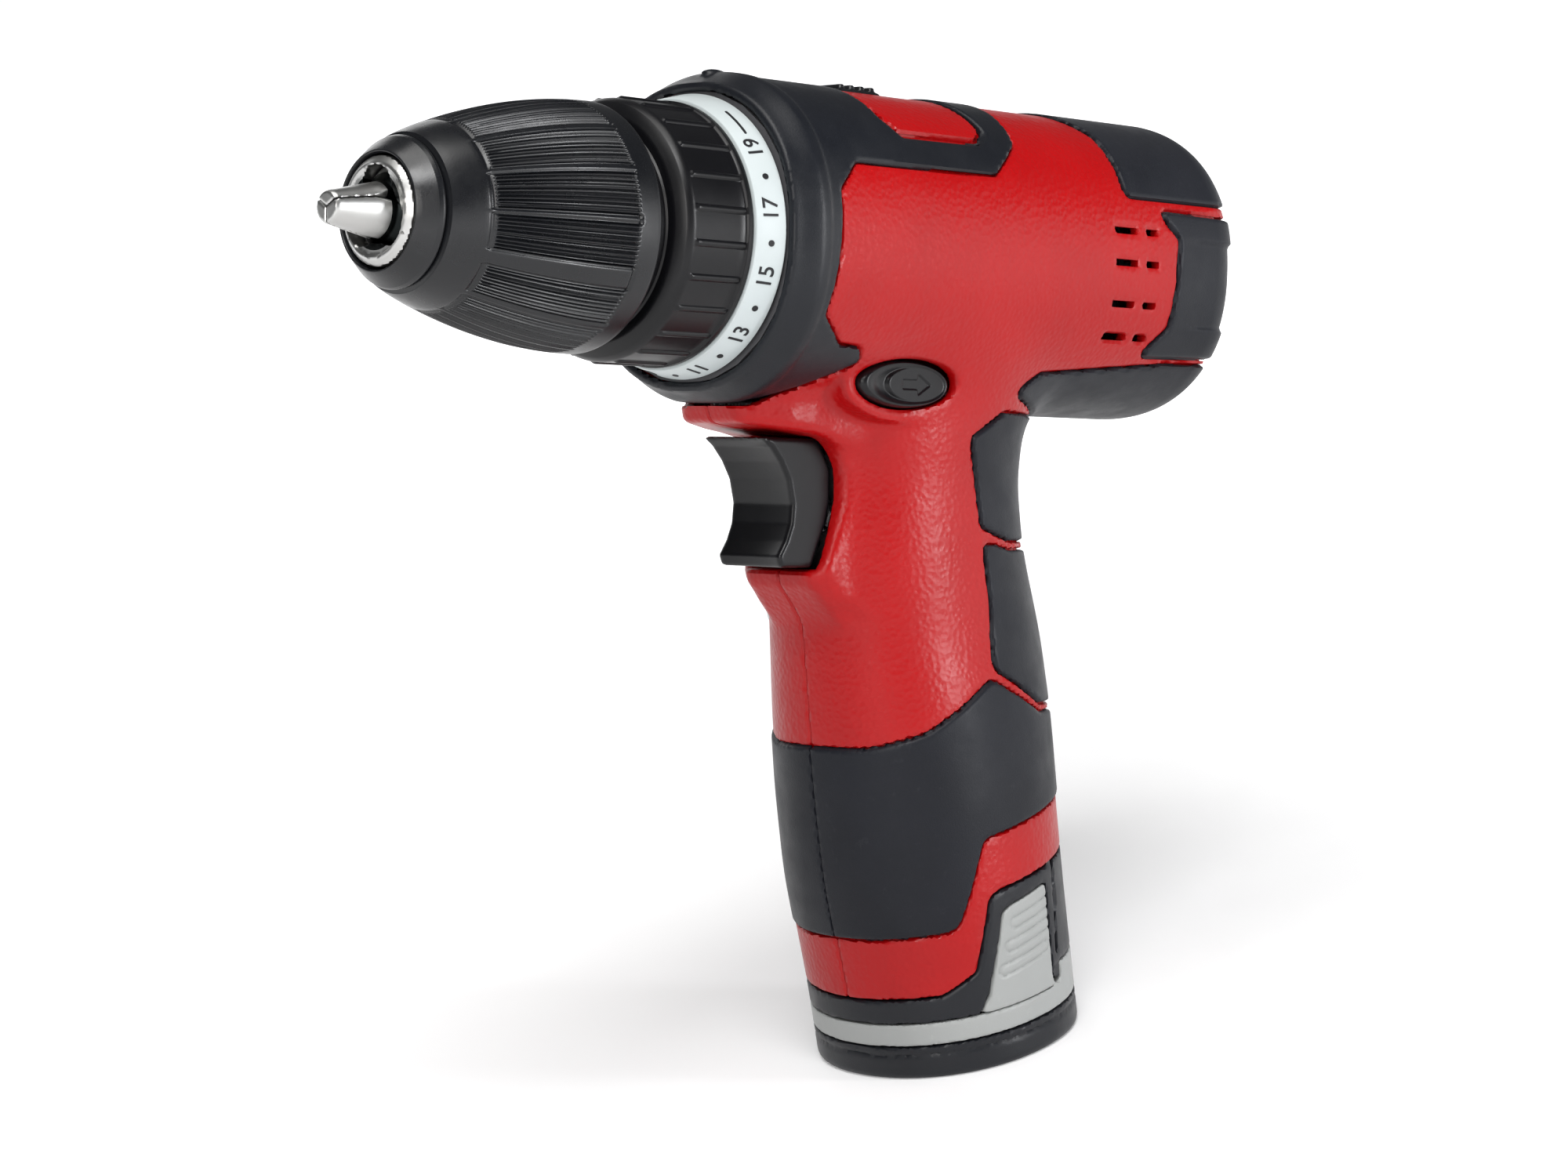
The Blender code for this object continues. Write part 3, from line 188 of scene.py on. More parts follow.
def surfaceOf(field, low, high, step, settle=2):
    # one point in each grid cell that the surface crosses, at the mean of its edge crossings, joined across
    # every crossed grid edge, then eased towards its neighbours and slid along the gradient onto the zero
    axes = [np.arange(a - step, b + 2 * step, step) for a, b in zip(low, high)]
    x, y, z = np.meshgrid(*axes, indexing="ij")
    values = field(x, y, z)
    inside = values < 0
    nx, ny, nz = values.shape
    corners = [(i, j, k) for i in (0, 1) for j in (0, 1) for k in (0, 1)]
    count = sum(inside[i:nx - 1 + i, j:ny - 1 + j, k:nz - 1 + k].astype(np.int8) for i, j, k in corners)
    cells = np.argwhere((count > 0) & (count < 8))
    number = -np.ones((nx - 1, ny - 1, nz - 1), np.int64)
    number[tuple(cells.T)] = np.arange(len(cells))
    total = np.zeros((len(cells), 3))
    hits = np.zeros(len(cells))
    for a in corners:
        for axis in range(3):
            if a[axis]:
                continue
            b = list(a)
            b[axis] = 1
            va = values[tuple((cells + a).T)]
            vb = values[tuple((cells + b).T)]
            crossed = (va < 0) != (vb < 0)
            t = np.where(crossed, va / (va - vb + 1e-12), 0)
            point = np.array(a, float)[None] + 0 * total
            point[:, axis] += t
            total += point * crossed[:, None]
            hits += crossed
    points = (cells + total / hits[:, None]) * step + np.array([a[0] for a in axes])
    quads = []
    for axis in range(3):
        u, v = [i for i in range(3) if i != axis]
        edges = np.argwhere(np.diff(inside, axis=axis))
        edges = edges[(edges[:, u] > 0) & (edges[:, v] > 0)
                      & (edges[:, u] < values.shape[u] - 1) & (edges[:, v] < values.shape[v] - 1)]
        goesIn = inside[tuple(edges.T)]
        ring = []
        for du, dv in ((-1, -1), (0, -1), (0, 0), (-1, 0)):
            cell = edges.copy()
            cell[:, u] += du
            cell[:, v] += dv
            ring.append(number[tuple(cell.T)])
        ring = np.stack(ring, 1)
        flip = goesIn if axis != 1 else ~goesIn
        ring[~flip] = ring[~flip][:, ::-1]
        quads.append(ring)
    quads = np.concatenate(quads)
    quads = quads[(quads >= 0).all(1)]
    keep, pull = 0.45, 0.55             # how much of its own place and of its neighbours' mean a point takes
    probe, leastSlope = 0.02, 0.05      # the step of the gradient in mm, and the smallest one divided by
    for _ in range(settle):
        mean = np.zeros_like(points)
        weight = np.zeros(len(points))
        for i in range(4):
            for j in (1, 3):
                np.add.at(mean, quads[:, i], points[quads[:, (i + j) % 4]])
                np.add.at(weight, quads[:, i], 1)
        points = points * keep + pull * mean / np.maximum(weight, 1)[:, None]
        for _ in range(2):
            here = field(*points.T)
            slope = np.stack([(field(*(points + d).T) - here) / probe for d in np.eye(3) * probe], 1)
            size = np.maximum((slope ** 2).sum(1), leastSlope)
            move = np.clip(-here / size, -0.5 * step, 0.5 * step)
            points = points + slope * move[:, None]
    return points, quads


def mirrored(points, faces):
    # y changes sign and each face runs the other way round
    return points * np.array([1, -1, 1]), faces[:, ::-1]


# materials: colour, roughness and relief all vary over the surface, from Object coordinates

def addNode(tree, kind, inputs=None, **settings):
    # a shader node with its settings, and the values of its input sockets by name or number
    node = tree.nodes.new("ShaderNode" + kind)
    for key, value in settings.items():
        setattr(node, key, value)
    for socket, value in (inputs or {}).items():
        node.inputs[socket].default_value = value
    return node


def makeMaterial(name, colour, rough, metal=0.0, grain="noise", grainSize=0.5, grainDepth=0.03, mottle=0.12,
                 roughSpread=0.08, sheen=0.0, stretch=(1, 1, 1), scuffs=0.0, shine=0.3):
    # grain cells of grainSize mm stand grainDepth mm high; mottle and roughSpread blur over centimetres
    material = bpy.data.materials.new(name)
    material.use_nodes = True
    tree = material.node_tree
    link = tree.links.new
    shader = tree.nodes["Principled BSDF"]
    for socket, value in (("Metallic", metal), ("Specular IOR Level", shine), ("Sheen Weight", sheen),
                          ("Sheen Roughness", 0.5)):
        shader.inputs[socket].default_value = value
    where = addNode(tree, "TexCoord").outputs["Object"]
    mapping = addNode(tree, "Mapping", {"Rotation": (0, -math.radians(stance["leanDegrees"]), 0),
                                        "Scale": stretch})
    link(where, mapping.inputs["Vector"])
    along = mapping.outputs["Vector"]

    def noise(scale, detail, roughness=0.5, source=where):
        # fractal noise with scale cells to the metre
        node = addNode(tree, "TexNoise", {"Scale": scale, "Detail": detail, "Roughness": roughness})
        link(source, node.inputs["Vector"])
        return node.outputs["Fac"]

    def ranged(value, low, high, fromLow=0.3, fromHigh=0.7):
        # the part of a noise between fromLow and fromHigh, stretched to run from low to high
        node = addNode(tree, "MapRange", {"From Min": fromLow, "From Max": fromHigh,
                                          "To Min": low, "To Max": high})
        link(value, node.inputs["Value"])
        return node.outputs["Result"]

    def opaque(factor, lift=0.0):
        # the finish's own colour, scaled and lifted, none of it past 1
        return (*[min(1, c * factor + lift) for c in colour], 1)

    mix = addNode(tree, "Mix", {"A": opaque(1 - mottle), "B": opaque(1 + mottle)}, data_type="RGBA")
    link(ranged(noise(55, 4), 0, 1), mix.inputs["Factor"])
    shade = mix.outputs["Result"]
    if scuffs:
        # short pale rubs where a fine noise passes a threshold
        rubbed = addNode(tree, "Mix", {"B": opaque(1.5, 0.03)}, data_type="RGBA")
        link(ranged(noise(420, 6, 0.7), 0, scuffs, 0.60, 0.72), rubbed.inputs["Factor"])
        link(shade, rubbed.inputs["A"])
        shade = rubbed.outputs["Result"]
    link(shade, shader.inputs["Base Color"])
    link(ranged(noise(140, 5, 0.6), rough - roughSpread, rough + roughSpread), shader.inputs["Roughness"])

    if grain == "leather":
        cells = addNode(tree, "TexVoronoi", {"Scale": 1000 / grainSize, "Smoothness": 0.6, "Randomness": 1.0},
                        feature="SMOOTH_F1")
        link(along, cells.inputs["Vector"])
        height = cells.outputs["Distance"]
    else:
        height = noise(1000 / grainSize, 3, 0.55, along)
    bump = addNode(tree, "Bump", {"Strength": 1.0, "Distance": grainDepth / 1000})
    link(height, bump.inputs["Height"])
    link(bump.outputs["Normal"], shader.inputs["Normal"])
    return material


finishes = {
    "red": makeMaterial("redNylon", (0.33, 0.0005, 0.0015), 0.34, grain="leather", grainSize=1.0,
                        grainDepth=0.09, mottle=0.06, roughSpread=0.05),
    "rubber": makeMaterial("charcoalRubber", (0.008, 0.009, 0.013), 0.46, grainSize=0.35, grainDepth=0.03,
                           mottle=0.15, sheen=0.02, scuffs=0.15, shine=0.2),
    "satinBlack": makeMaterial("satinBlack", (0.005, 0.0055, 0.007), 0.30, grainSize=0.3, grainDepth=0.012,
                               scuffs=0.12, shine=0.45),
    "coverBlack": makeMaterial("coverBlack", (0.006, 0.007, 0.010), 0.40, grainSize=0.3, grainDepth=0.025,
                               scuffs=0.10),
    "glossBlack": makeMaterial("glossBlack", (0.003, 0.003, 0.004), 0.32, grainSize=0.8, grainDepth=0.006,
                               roughSpread=0.04, scuffs=0.06),
    "caseBlack": makeMaterial("packCharcoal", (0.008, 0.009, 0.012), 0.40, grainSize=0.4, grainDepth=0.02),
    "grey": makeMaterial("packGrey", (0.30, 0.31, 0.305), 0.40, grainSize=0.35, grainDepth=0.015, mottle=0.05,
                         scuffs=0.1),
    "scale": makeMaterial("numberRing", (0.47, 0.515, 0.52), 0.42, grainSize=0.5, grainDepth=0.008,
                          mottle=0.05),
    "ink": makeMaterial("darkInk", (0.012, 0.012, 0.014), 0.5, grainSize=0.2, grainDepth=0.004),
    "steel": makeMaterial("satinSteel", (0.56, 0.555, 0.54), 0.30, 1.0, grainSize=0.25, grainDepth=0.006,
                          stretch=(6, 1, 1), mottle=0.08, roughSpread=0.07, scuffs=0.2),
    "darkSteel": makeMaterial("oiledSteel", (0.20, 0.20, 0.21), 0.38, 1.0, grainSize=0.3, grainDepth=0.01,
                              mottle=0.2, scuffs=0.3),
    "zinc": makeMaterial("zincPlate", (0.60, 0.61, 0.63), 0.33, 1.0, grainSize=0.6, grainDepth=0.008,
                         mottle=0.15),
    "spring": makeMaterial("springWire", (0.42, 0.42, 0.43), 0.30, 1.0, grainSize=0.15, grainDepth=0.006),
    "inner": makeMaterial("innerPlastic", (0.07, 0.07, 0.075), 0.5, grainSize=0.4, grainDepth=0.02),
    "copper": makeMaterial("varnishedCopper", (0.50, 0.20, 0.08), 0.35, 0.8, grainSize=0.5, grainDepth=0.12,
                           stretch=(8, 1, 1), mottle=0.3),
    "wrap": makeMaterial("cellSleeve", (0.03, 0.20, 0.36), 0.30, grainSize=0.8, grainDepth=0.012,
                         mottle=0.08),
}


def paintBoreShade(material, start, radius):
    # inside the radius and behind the start along the spindle the steel is painted near black: painted shade
    # in the chuck's bore, on its recessed face and on the jaws' tips where they sit inside it
    tree = material.node_tree
    link = tree.links.new
    shader = tree.nodes["Principled BSDF"]
    turn = addNode(tree, "Mapping", {"Rotation": (0, -math.radians(stance["leanDegrees"]), 0),
                                     "Location": (stance["footX"] / 1000, 0, stance["footZ"] / 1000)})
    link(tree.nodes["Texture Coordinate"].outputs["Object"], turn.inputs["Vector"])
    split, flat = addNode(tree, "SeparateXYZ"), addNode(tree, "CombineXYZ")
    link(turn.outputs["Vector"], split.inputs["Vector"])
    link(split.outputs["Y"], flat.inputs["Y"])
    link(split.outputs["Z"], flat.inputs["Z"])
    reach = addNode(tree, "VectorMath", operation="LENGTH")
    link(flat.outputs["Vector"], reach.inputs[0])
    both = addNode(tree, "Math", operation="MULTIPLY")
    tests = ((split.outputs["X"], start, "GREATER_THAN"), (reach.outputs["Value"], radius, "LESS_THAN"))
    for i, (value, limit, operation) in enumerate(tests):
        test = addNode(tree, "Math", {1: limit / 1000}, operation=operation)
        link(value, test.inputs[0])
        link(test.outputs[0], both.inputs[i])
    # the near black of the painted shade in the bore
    mix = addNode(tree, "Mix", {"B": (0.012, 0.014, 0.014, 1)}, data_type="RGBA")
    link(both.outputs[0], mix.inputs["Factor"])
    link(shader.inputs["Base Color"].links[0].from_socket, mix.inputs["A"])
    link(mix.outputs["Result"], shader.inputs["Base Color"])
    return material


# the chuck's steel, with painted shade in its bore
finishes["chuckSteel"] = paintBoreShade(
    makeMaterial("chuckSteel", (0.50, 0.50, 0.49), 0.34, 1.0, grainSize=0.25, grainDepth=0.006,
                 stretch=(6, 1, 1), mottle=0.08, roughSpread=0.07, scuffs=0.15),
    start=-43.75, radius=6.4)

# what each CAD piece is finished in, by its material slot
slotFinish = {
    "red_housing": "red", "black_plastic": "satinBlack", "charcoal_rubber": "rubber", "zinc_screw": "zinc",
    "inner_plastic": "inner", "gear_steel": "darkSteel", "satin_steel": "steel", "spring_steel": "spring",
    "motor_steel": "zinc", "rotor_copper": "copper", "number_ring": "scale", "grey_plastic": "grey",
    "cell_wrap": "wrap",
}
for part in frame["record"]["subparts"]:
    material = finishes[slotFinish[part["material_slot"]]]
    mesh = frame["nodes"][part["node"]].data
    mesh.materials.clear()
    mesh.materials.append(material)
print("materials set on", len(frame["nodes"]), "solids")


# camera, light and floor

view = {
    # place in the drill's millimetres, angles in radians, lens and sensor in millimetres
    "position": (-412.79, -462.98, -41.47), "yaw": 0.787086, "pitch": -0.028495, "roll": 0.021321,
    "lens": 83.49, "sensor": 36.0,
}


def turned(vector):
    # a direction of the drill's space, tipped by the lean
    return Vector((toWorld(vector) - toWorld((0, 0, 0))) * 1000)


def addCamera():
    # looks along yaw and pitch from its place in drill space, then turns by the roll about that line
    yaw, pitch, roll = view["yaw"], view["pitch"], view["roll"]
    ahead = Vector((math.sin(yaw) * math.cos(pitch), math.cos(yaw) * math.cos(pitch), math.sin(pitch)))
    right = ahead.cross(Vector((0, 0, 1))).normalized()
    up = right.cross(ahead)
    right, up = right * math.cos(roll) + up * math.sin(roll), up * math.cos(roll) - right * math.sin(roll)
    axes = [turned(right), turned(up), turned(-ahead)]
    data = bpy.data.cameras.new("camera")
    data.lens, data.sensor_width = view["lens"], view["sensor"]
    data.clip_start, data.clip_end = 0.01, 20
    camera = bpy.data.objects.new("camera", data)
    camera.matrix_world = Matrix.Translation(toWorld(view["position"])) @ Matrix(axes).transposed().to_4x4()
    bpy.context.scene.collection.objects.link(camera)
    bpy.context.scene.camera = camera


addCamera()

studio = {
    # name: place in metres, size, power, colour; all of them look at the drill's middle
    "overheadLight": ((-0.15, -0.10, 0.90), (0.6, 0.6), 4.2, (1.0, 0.99, 0.97)),
    "leftLight": ((-0.85, -0.60, 0.60), (0.45, 0.6), 4.6, (1.0, 0.98, 0.96)),
    "rightLight": ((0.34, -0.95, 0.22), (0.14, 0.5), 5.0, (0.97, 0.98, 1.0)),
    "backLight": ((0.30, 0.95, 0.50), (0.9, 0.5), 2.0, (1.0, 1.0, 1.0)),
}
for name, (place, size, power, colour) in studio.items():
    lamp = bpy.data.lights.new(name, "AREA")
    lamp.shape, lamp.size, lamp.size_y = "RECTANGLE", *size
    lamp.energy, lamp.color = power, colour
    obj = bpy.data.objects.new(name, lamp)
    toMiddle = Vector((0, 0, 0.10)) - Vector(place)
    obj.matrix_world = Matrix.Translation(place) @ toMiddle.to_track_quat("-Z", "Y").to_matrix().to_4x4()
    bpy.context.scene.collection.objects.link(obj)

key = bpy.data.lights.new("keyLight", "SUN")
key.energy, key.angle = 1.35, math.radians(24)
sun = bpy.data.objects.new("keyLight", key)
sun.rotation_euler = Vector((-0.55, -0.75, 1.55)).to_track_quat("Z", "Y").to_euler()
bpy.context.scene.collection.objects.link(sun)

world = bpy.data.worlds.new("studio")
world.use_nodes = True
# the backdrop: bright at the floor's edge, dimmer overhead, so that black plastic keeps its depth
tree = world.node_tree
direction, height = addNode(tree, "TexCoord"), addNode(tree, "SeparateXYZ")
fade = addNode(tree, "MapRange", {"From Min": 0.05, "From Max": 0.22, "To Min": 1.04, "To Max": 0.10},
               interpolation_type="SMOOTHSTEP")
tree.links.new(direction.outputs["Generated"], height.inputs["Vector"])
tree.links.new(height.outputs["Z"], fade.inputs["Value"])
tree.links.new(fade.outputs["Result"], tree.nodes["Background"].inputs["Strength"])
tree.nodes["Background"].inputs["Color"].default_value = (0.98, 0.99, 1.0, 1)
bpy.context.scene.world = world
bpy.context.scene.view_settings.view_transform = "Standard"

floor = bpy.data.objects.new("floor", bpy.data.meshes.new("floor"))
floor.data.from_pydata([(-40, -40, 0), (40, -40, 0), (40, 40, 0), (-40, 40, 0)], [], [(0, 1, 2, 3)])
bpy.context.scene.collection.objects.link(floor)
paper = makeMaterial("paleFloor", (0.78, 0.78, 0.785), 0.6, grainSize=1.5, grainDepth=0.01, mottle=0.01)
# the paper is lit more and more evenly away from the drill, so that it runs into the backdrop with no edge
tree = paper.node_tree
distance = addNode(tree, "VectorMath", operation="LENGTH")
glow = addNode(tree, "MapRange", {"From Min": 0.10, "From Max": 1.1, "To Min": 0.22, "To Max": 1.04},
               interpolation_type="SMOOTHSTEP")
tree.links.new(tree.nodes["Texture Coordinate"].outputs["Object"], distance.inputs[0])
tree.links.new(distance.outputs["Value"], glow.inputs["Value"])
shader = tree.nodes["Principled BSDF"]
shader.inputs["Emission Color"].default_value = (0.99, 0.99, 1.0, 1)
tree.links.new(glow.outputs["Result"], shader.inputs["Emission Strength"])
floor.data.materials.append(paper)
print("camera, light and floor placed")


# the red shells

outlines = {
    "cover": [(25, 32), (25, -28.9), (33.8, -28.9), (49, -21.1), (47.1, -18.9), (41.3, -18.4), (34.8, -13.6),
              (35.8, -2), (36.2, 8.2), (41.5, 13.3), (78, 13.6), (87, 19.9), (92, 32)],
    "switchIsland": [(53.8, 34), (53.8, 22.5), (56.6, 19.1), (77.1, 19.3), (80.3, 21.5), (80.3, 34)],
    "rearUpper": [(108.8, 32), (114.6, 23.7), (114.2, 12.3), (152, 12.3), (152, 32)],
    "rearMiddle": [(122.9, 9.9), (128.3, 5.1), (127.3, -12), (121.7, -17.4), (152, -16.8), (152, 9.4)],
    "rearLower": [(91, -25.4), (97.3, -21.6), (130.4, -18.8), (152, -18.2), (152, -32), (116, -32),
                  (104, -28.6)],
    "gripUpper": [(88.3, -29), (79.2, -33.9), (80.8, -39.6), (83, -49.9), (91.5, -52.3), (125, -52.3),
                  (125, -30)],
    "gripLower": [(83.7, -52.9), (85.2, -63.9), (85.5, -75.8), (99.5, -82.4), (125, -82.4), (125, -54.3),
                  (91.5, -54.3)],
    "handleSleeve": [(50, -90.8), (62.1, -90.8), (70, -87.6), (77.7, -82.4), (84.2, -77.9), (99, -84.3),
                     (130, -84.3), (130, -94.3), (101.1, -101.1), (90, -104.1), (81.1, -106.6),
                     (77.9, -123.4), (68.8, -125.6), (50, -129)],
    "skirt": [(30, -147.4), (71, -137.3), (77.6, -135.7), (82.3, -131.3), (83.3, -117.5), (85.4, -116.1),
              (102.1, -111.4), (140, -101), (140, -190), (30, -190)],
    "latch": [(86.6, -120.5), (88.4, -119.2), (98.2, -115.7), (101.1, -133.6), (104.6, -134.2), (84, -139.2),
              (85.5, -136)],
    "chin": [(31.5, -28.6), (32.2, -32.2), (46, -33.8), (57, -36), (60, -20), (34, -20)],
    "cheek": [(51.6, -33), (55.9, -40), (55.9, -46), (51.4, -58.6), (56, -64), (66, -64), (66, -33)],
    "nub": [(49.8, -58.6), (50.8, -61.2), (58, -68), (66, -60), (62, -58.6)],
}


def flatTable(outline, cell=0.25, spanU=(20, 156), spanV=(-160, 42)):
    # the distance to an outline, worked out once on a grid of cells over the two spans
    us, vs = np.arange(*spanU, cell), np.arange(*spanV, cell)
    table = outlineField(outline, *np.meshgrid(us, vs, indexing="ij"))

    def read(u, v):
        # the four entries round a point, weighted by how near they are
        fu = np.clip((u - us[0]) / cell, 0, len(us) - 1.001)
        fv = np.clip((v - vs[0]) / cell, 0, len(vs) - 1.001)
        i, k = fu.astype(int), fv.astype(int)
        s, t = fu - i, fv - k
        return ((table[i, k] * (1 - s) + table[i + 1, k] * s) * (1 - t)
                + (table[i, k + 1] * (1 - s) + table[i + 1, k + 1] * s) * t)
    return read


padNames = ["rearUpper", "rearMiddle", "rearLower", "gripUpper", "gripLower", "handleSleeve"]
cornerRadii = {**dict.fromkeys(padNames, 1.6), "handleSleeve": 3.0, "cover": 1.8, "switchIsland": 1.2,
               "skirt": 2.0, "chin": 2.5, "cheek": 3.0, "nub": 2.0, "latch": 1.0}
tables = {name: flatTable(roundCorners(outlines[name], r)) for name, r in cornerRadii.items()}

shellForm = {
    "step": 0.685, "seamGap": 0.45, "recess": 1.1, "edge": 0.35, "padProud": 0.4, "padDepth": 0.8,
    "barrelStart": 29.6, "barrelLow": -29.0,
    # round the trigger: half width of each lump, its edge and the fillets that join it to the handle
    "chinHalf": ((31, 35, 41, 46), (6.8, 9.2, 12.0, 13.0)), "cheekHalf": 10.9, "nubHalf": 8.8,
    "lumpEdge": 2.2, "lumpBlend": {"chin": 3.0, "cheek": 4.0, "nub": 3.0},
    "triggerSlot": ((-50, -8.25, -58.05), (62.6, 8.25, -34.25)),
    "switchSlot": ((56.15, -6.55, 20), (76.35, 6.55, 60)),
    "buttonAt": (62.1, -24.6), "buttonHalf": (11.75, 4.55), "buttonBezel": (14.4, 6.8), "buttonReach": 18.4,
    "ventRows": (5.7, -0.3, -8.0, -14.0), "vents": ((109.5, 116.0), (118.5, 122.0)), "ventHalf": 0.65,
    "screws": ((100.0, 22.3), (78.5, -26.5), (64.5, -66.5), (45.5, -28.6)), "screwHole": 3.1,
}


def ovalField(x, z, at, half):
    # how far (x, z) lies outside an ellipse, along the line from its middle
    u, v = (x - at[0]), (z - at[1])
    q = np.sqrt((u / half[0]) ** 2 + (v / half[1]) ** 2) + 1e-9
    return (q - 1) * np.sqrt(u * u + v * v) / q


def outerField(x, y, z):
    # the skin of both halves with the chin, cheek and nub round the trigger blended in
    s = shellForm
    d = bodyField(x, y, z)
    halves = {"chin": np.interp(x, *s["chinHalf"]), "cheek": s["cheekHalf"], "nub": s["nubHalf"]}
    for name, half in halves.items():
        lump = roundMax(tables[name](x, z), np.abs(y) - half, s["lumpEdge"])
        d = roundMin(d, lump, s["lumpBlend"][name])
    boss = roundMax(ovalField(x, z, s["buttonAt"], s["buttonBezel"]), np.abs(y) - s["buttonReach"], 1.2)
    return roundMin(d, boss, 1.5)


def boxField(x, y, z, low, high):
    # the furthest that a point lies past any of the box's six faces
    return np.maximum.reduce([low[0] - x, x - high[0], low[1] - y, y - high[1], low[2] - z, z - high[2]])


def shellField(x, y, z, screws):
    # the skin with a wall under it, sunk where pads and cover lie, then cut by every opening in turn
    s = shellForm
    outer, bare = outerField(x, y, z), bodyField(x, y, z)
    d = np.maximum(outer, -(np.minimum(bare, outer + 1e-3) + form["wall"]))
    front = np.where(z > s["barrelLow"], s["barrelStart"] - x, -9.0)
    d = roundMax(d, np.minimum(front, 3.0), 0.3)
    pads = np.min([tables[name](x, z) for name in padNames], axis=0)
    cover = np.maximum(tables["cover"](x, z), -tables["switchIsland"](x, z))
    recess = np.maximum(np.minimum(pads, cover) - s["seamGap"], -(bare + s["recess"]))
    vents = np.min([boxField(x, y * 0, z, (x0, -1, row - s["ventHalf"]), (x1, 1, row + s["ventHalf"]))
                    for row in s["ventRows"] for x0, x1 in s["vents"]], axis=0)
    # each opening with the radius of its edge
    cuts = [(recess, s["edge"]), (boxField(x, y, z, *s["triggerSlot"]), 0.6),
            (boxField(x, y, z, *s["switchSlot"]), 0.4),
            (ovalField(x, z, s["buttonAt"], s["buttonHalf"]), 0.8),
            (tables["skirt"](x, z), 0.5), (vents, 0.25)]
    if screws:
        holes = np.min([np.hypot(x - a, z - c) for a, c in s["screws"]], axis=0) - s["screwHole"]
        cuts.append((holes, 0.4))
    for cut, r in cuts:
        d = roundMax(d, -cut, r)
    return np.maximum(d, y + form["split"])


def fieldPiece(name, field, low, high, step, body, slotName, finish, *nodes, mirror=False, sharp=35):
    # the field's surface, looked for between low and high on a grid of that step, as a finished piece;
    # mirror puts it on the drill's other side
    points, faces = surfaceOf(field, low, high, step)
    if mirror:
        points, faces = mirrored(points, faces)
    return finishPiece(addMesh(name, points, faces, sharp), body, slotName, finish, *nodes)


for side, right in (("left", False), ("right", True)):
    obj = fieldPiece("shell" + side.capitalize(), lambda x, y, z: shellField(x, y, z, right),
                     (26, -29.5, -152), (149, 0.5, 30), shellForm["step"], "housing", "red_housing", "red",
                     f"housing_{side}", mirror=right)
    print(side, "shell,", len(obj.data.polygons) * 2, "triangles")


# rubber pads and the black front cover

padForm = {
    "edge": 0.55, "step": 0.52, "flange": 0.4, "flangeDrop": 0.3,
    "middleProud": 0.1, "middleStep": 0.55, "middleRows": (-11.0, 4.2), "middleFrom": (127.0, 138.0),
    "middleEase": 1.1,
    "collarRise": 0.35, "collarFront": 25.85, "collarRamps": ((27, 30.6), (32.6, 33.6)), "lip": (29, 1.3),
    "bump": (31.6, 29.0, 2.6, 1.7, 0.8),
}


def ramp(value, low, high):
    # 0 below low, 1 above high, and 3tt - 2ttt between them
    t = np.clip((value - low) / (high - low), 0, 1)
    return t * t * (3 - 2 * t)


def padField(name, x, y, z):
    # the skin between two offsets of the body, inside the pad's own outline
    p, s = padForm, shellForm
    body = bodyField(x, y, z)
    proud = s["padProud"]
    if name == "rearMiddle":
        (low, high), ease = p["middleRows"], p["middleEase"]
        waist = ramp(z, low - ease, low) * ramp(-z, -high - ease, -high) * ramp(x, *p["middleFrom"])
        proud = proud + p["middleProud"] - p["middleStep"] * waist
    d = roundMax(body - proud, tables[name](x, z), p["edge"])
    # a thin flange under the visible edge closes the floor of the joint line
    flange = np.maximum(body + p["flangeDrop"], tables[name](x, z) - p["flange"])
    return np.maximum(np.maximum(np.minimum(d, flange), -(body + s["padDepth"])), y + form["split"])


# CAD node, then the lowest and the highest x and z of each pad
pads = {"rearUpper": ("rear_pad_upper", (106, 10), (149, 30)),
        "rearMiddle": ("rear_pad_middle", (119, -19), (149, 12)),
        "rearLower": ("rear_pad_lower", (89, -30), (149, -16)),
        "gripUpper": ("grip_pad_upper", (77, -54), (108, -27)),
        "gripLower": ("grip_pad_lower", (82, -84), (115, -51)),
        "handleSleeve": ("handle_sleeve", (56, -131), (119, -76))}
for name, (node, low, high) in pads.items():
    points, faces = surfaceOf(lambda x, y, z: padField(name, x, y, z), (low[0], -29.5, low[1]),
                              (high[0], 0.5, high[1]), padForm["step"])
    for side, shape in (("left", (points, faces)), ("right", mirrored(points, faces))):
        obj = addMesh(name + side.capitalize(), *shape, 40)
        finishPiece(obj, "housing", "charcoal_rubber", "rubber", f"{node}_{side}")
print("pads made")


def coverField(x, y, z):
    # the skin between two offsets of the body, inside the cover's outline and outside the switch's island,
    # with a low collar at its front and one small bump on top
    p, s = padForm, shellForm
    body = bodyField(x, y, z)
    up, down = p["collarRamps"]
    rise = p["collarRise"] * ramp(x, *up) * ramp(-x, -down[1], -down[0])
    outer = body - s["padProud"] - rise
    bx, bz, a, b, c = p["bump"]
    bump = np.sqrt(((x - bx) / a) ** 2 + (y / b) ** 2 + ((z - bz) / c) ** 2) - 1
    outer = roundMin(outer, bump * c, 0.3)
    side = np.maximum(tables["cover"](x, z), s["seamGap"] - tables["switchIsland"](x, z))
    d = roundMax(outer, side, p["edge"])
    d = np.minimum(d, np.maximum(body + p["flangeDrop"], side - p["flange"]))
    d = roundMax(d, p["collarFront"] - x, 0.5)
    lipEnd, lipDepth = p["lip"]
    return np.maximum(d, -(body + np.where(x < lipEnd, lipDepth, s["padDepth"])))


fieldPiece("frontCover", coverField, (25, -29.6, -31), (94, 29.6, 31), 0.62, "housing", "black_plastic",
           "coverBlack", "front_cover", sharp=40)
print("front cover made")


# turned pieces: rings of points about the spindle, one row for each point of the profile

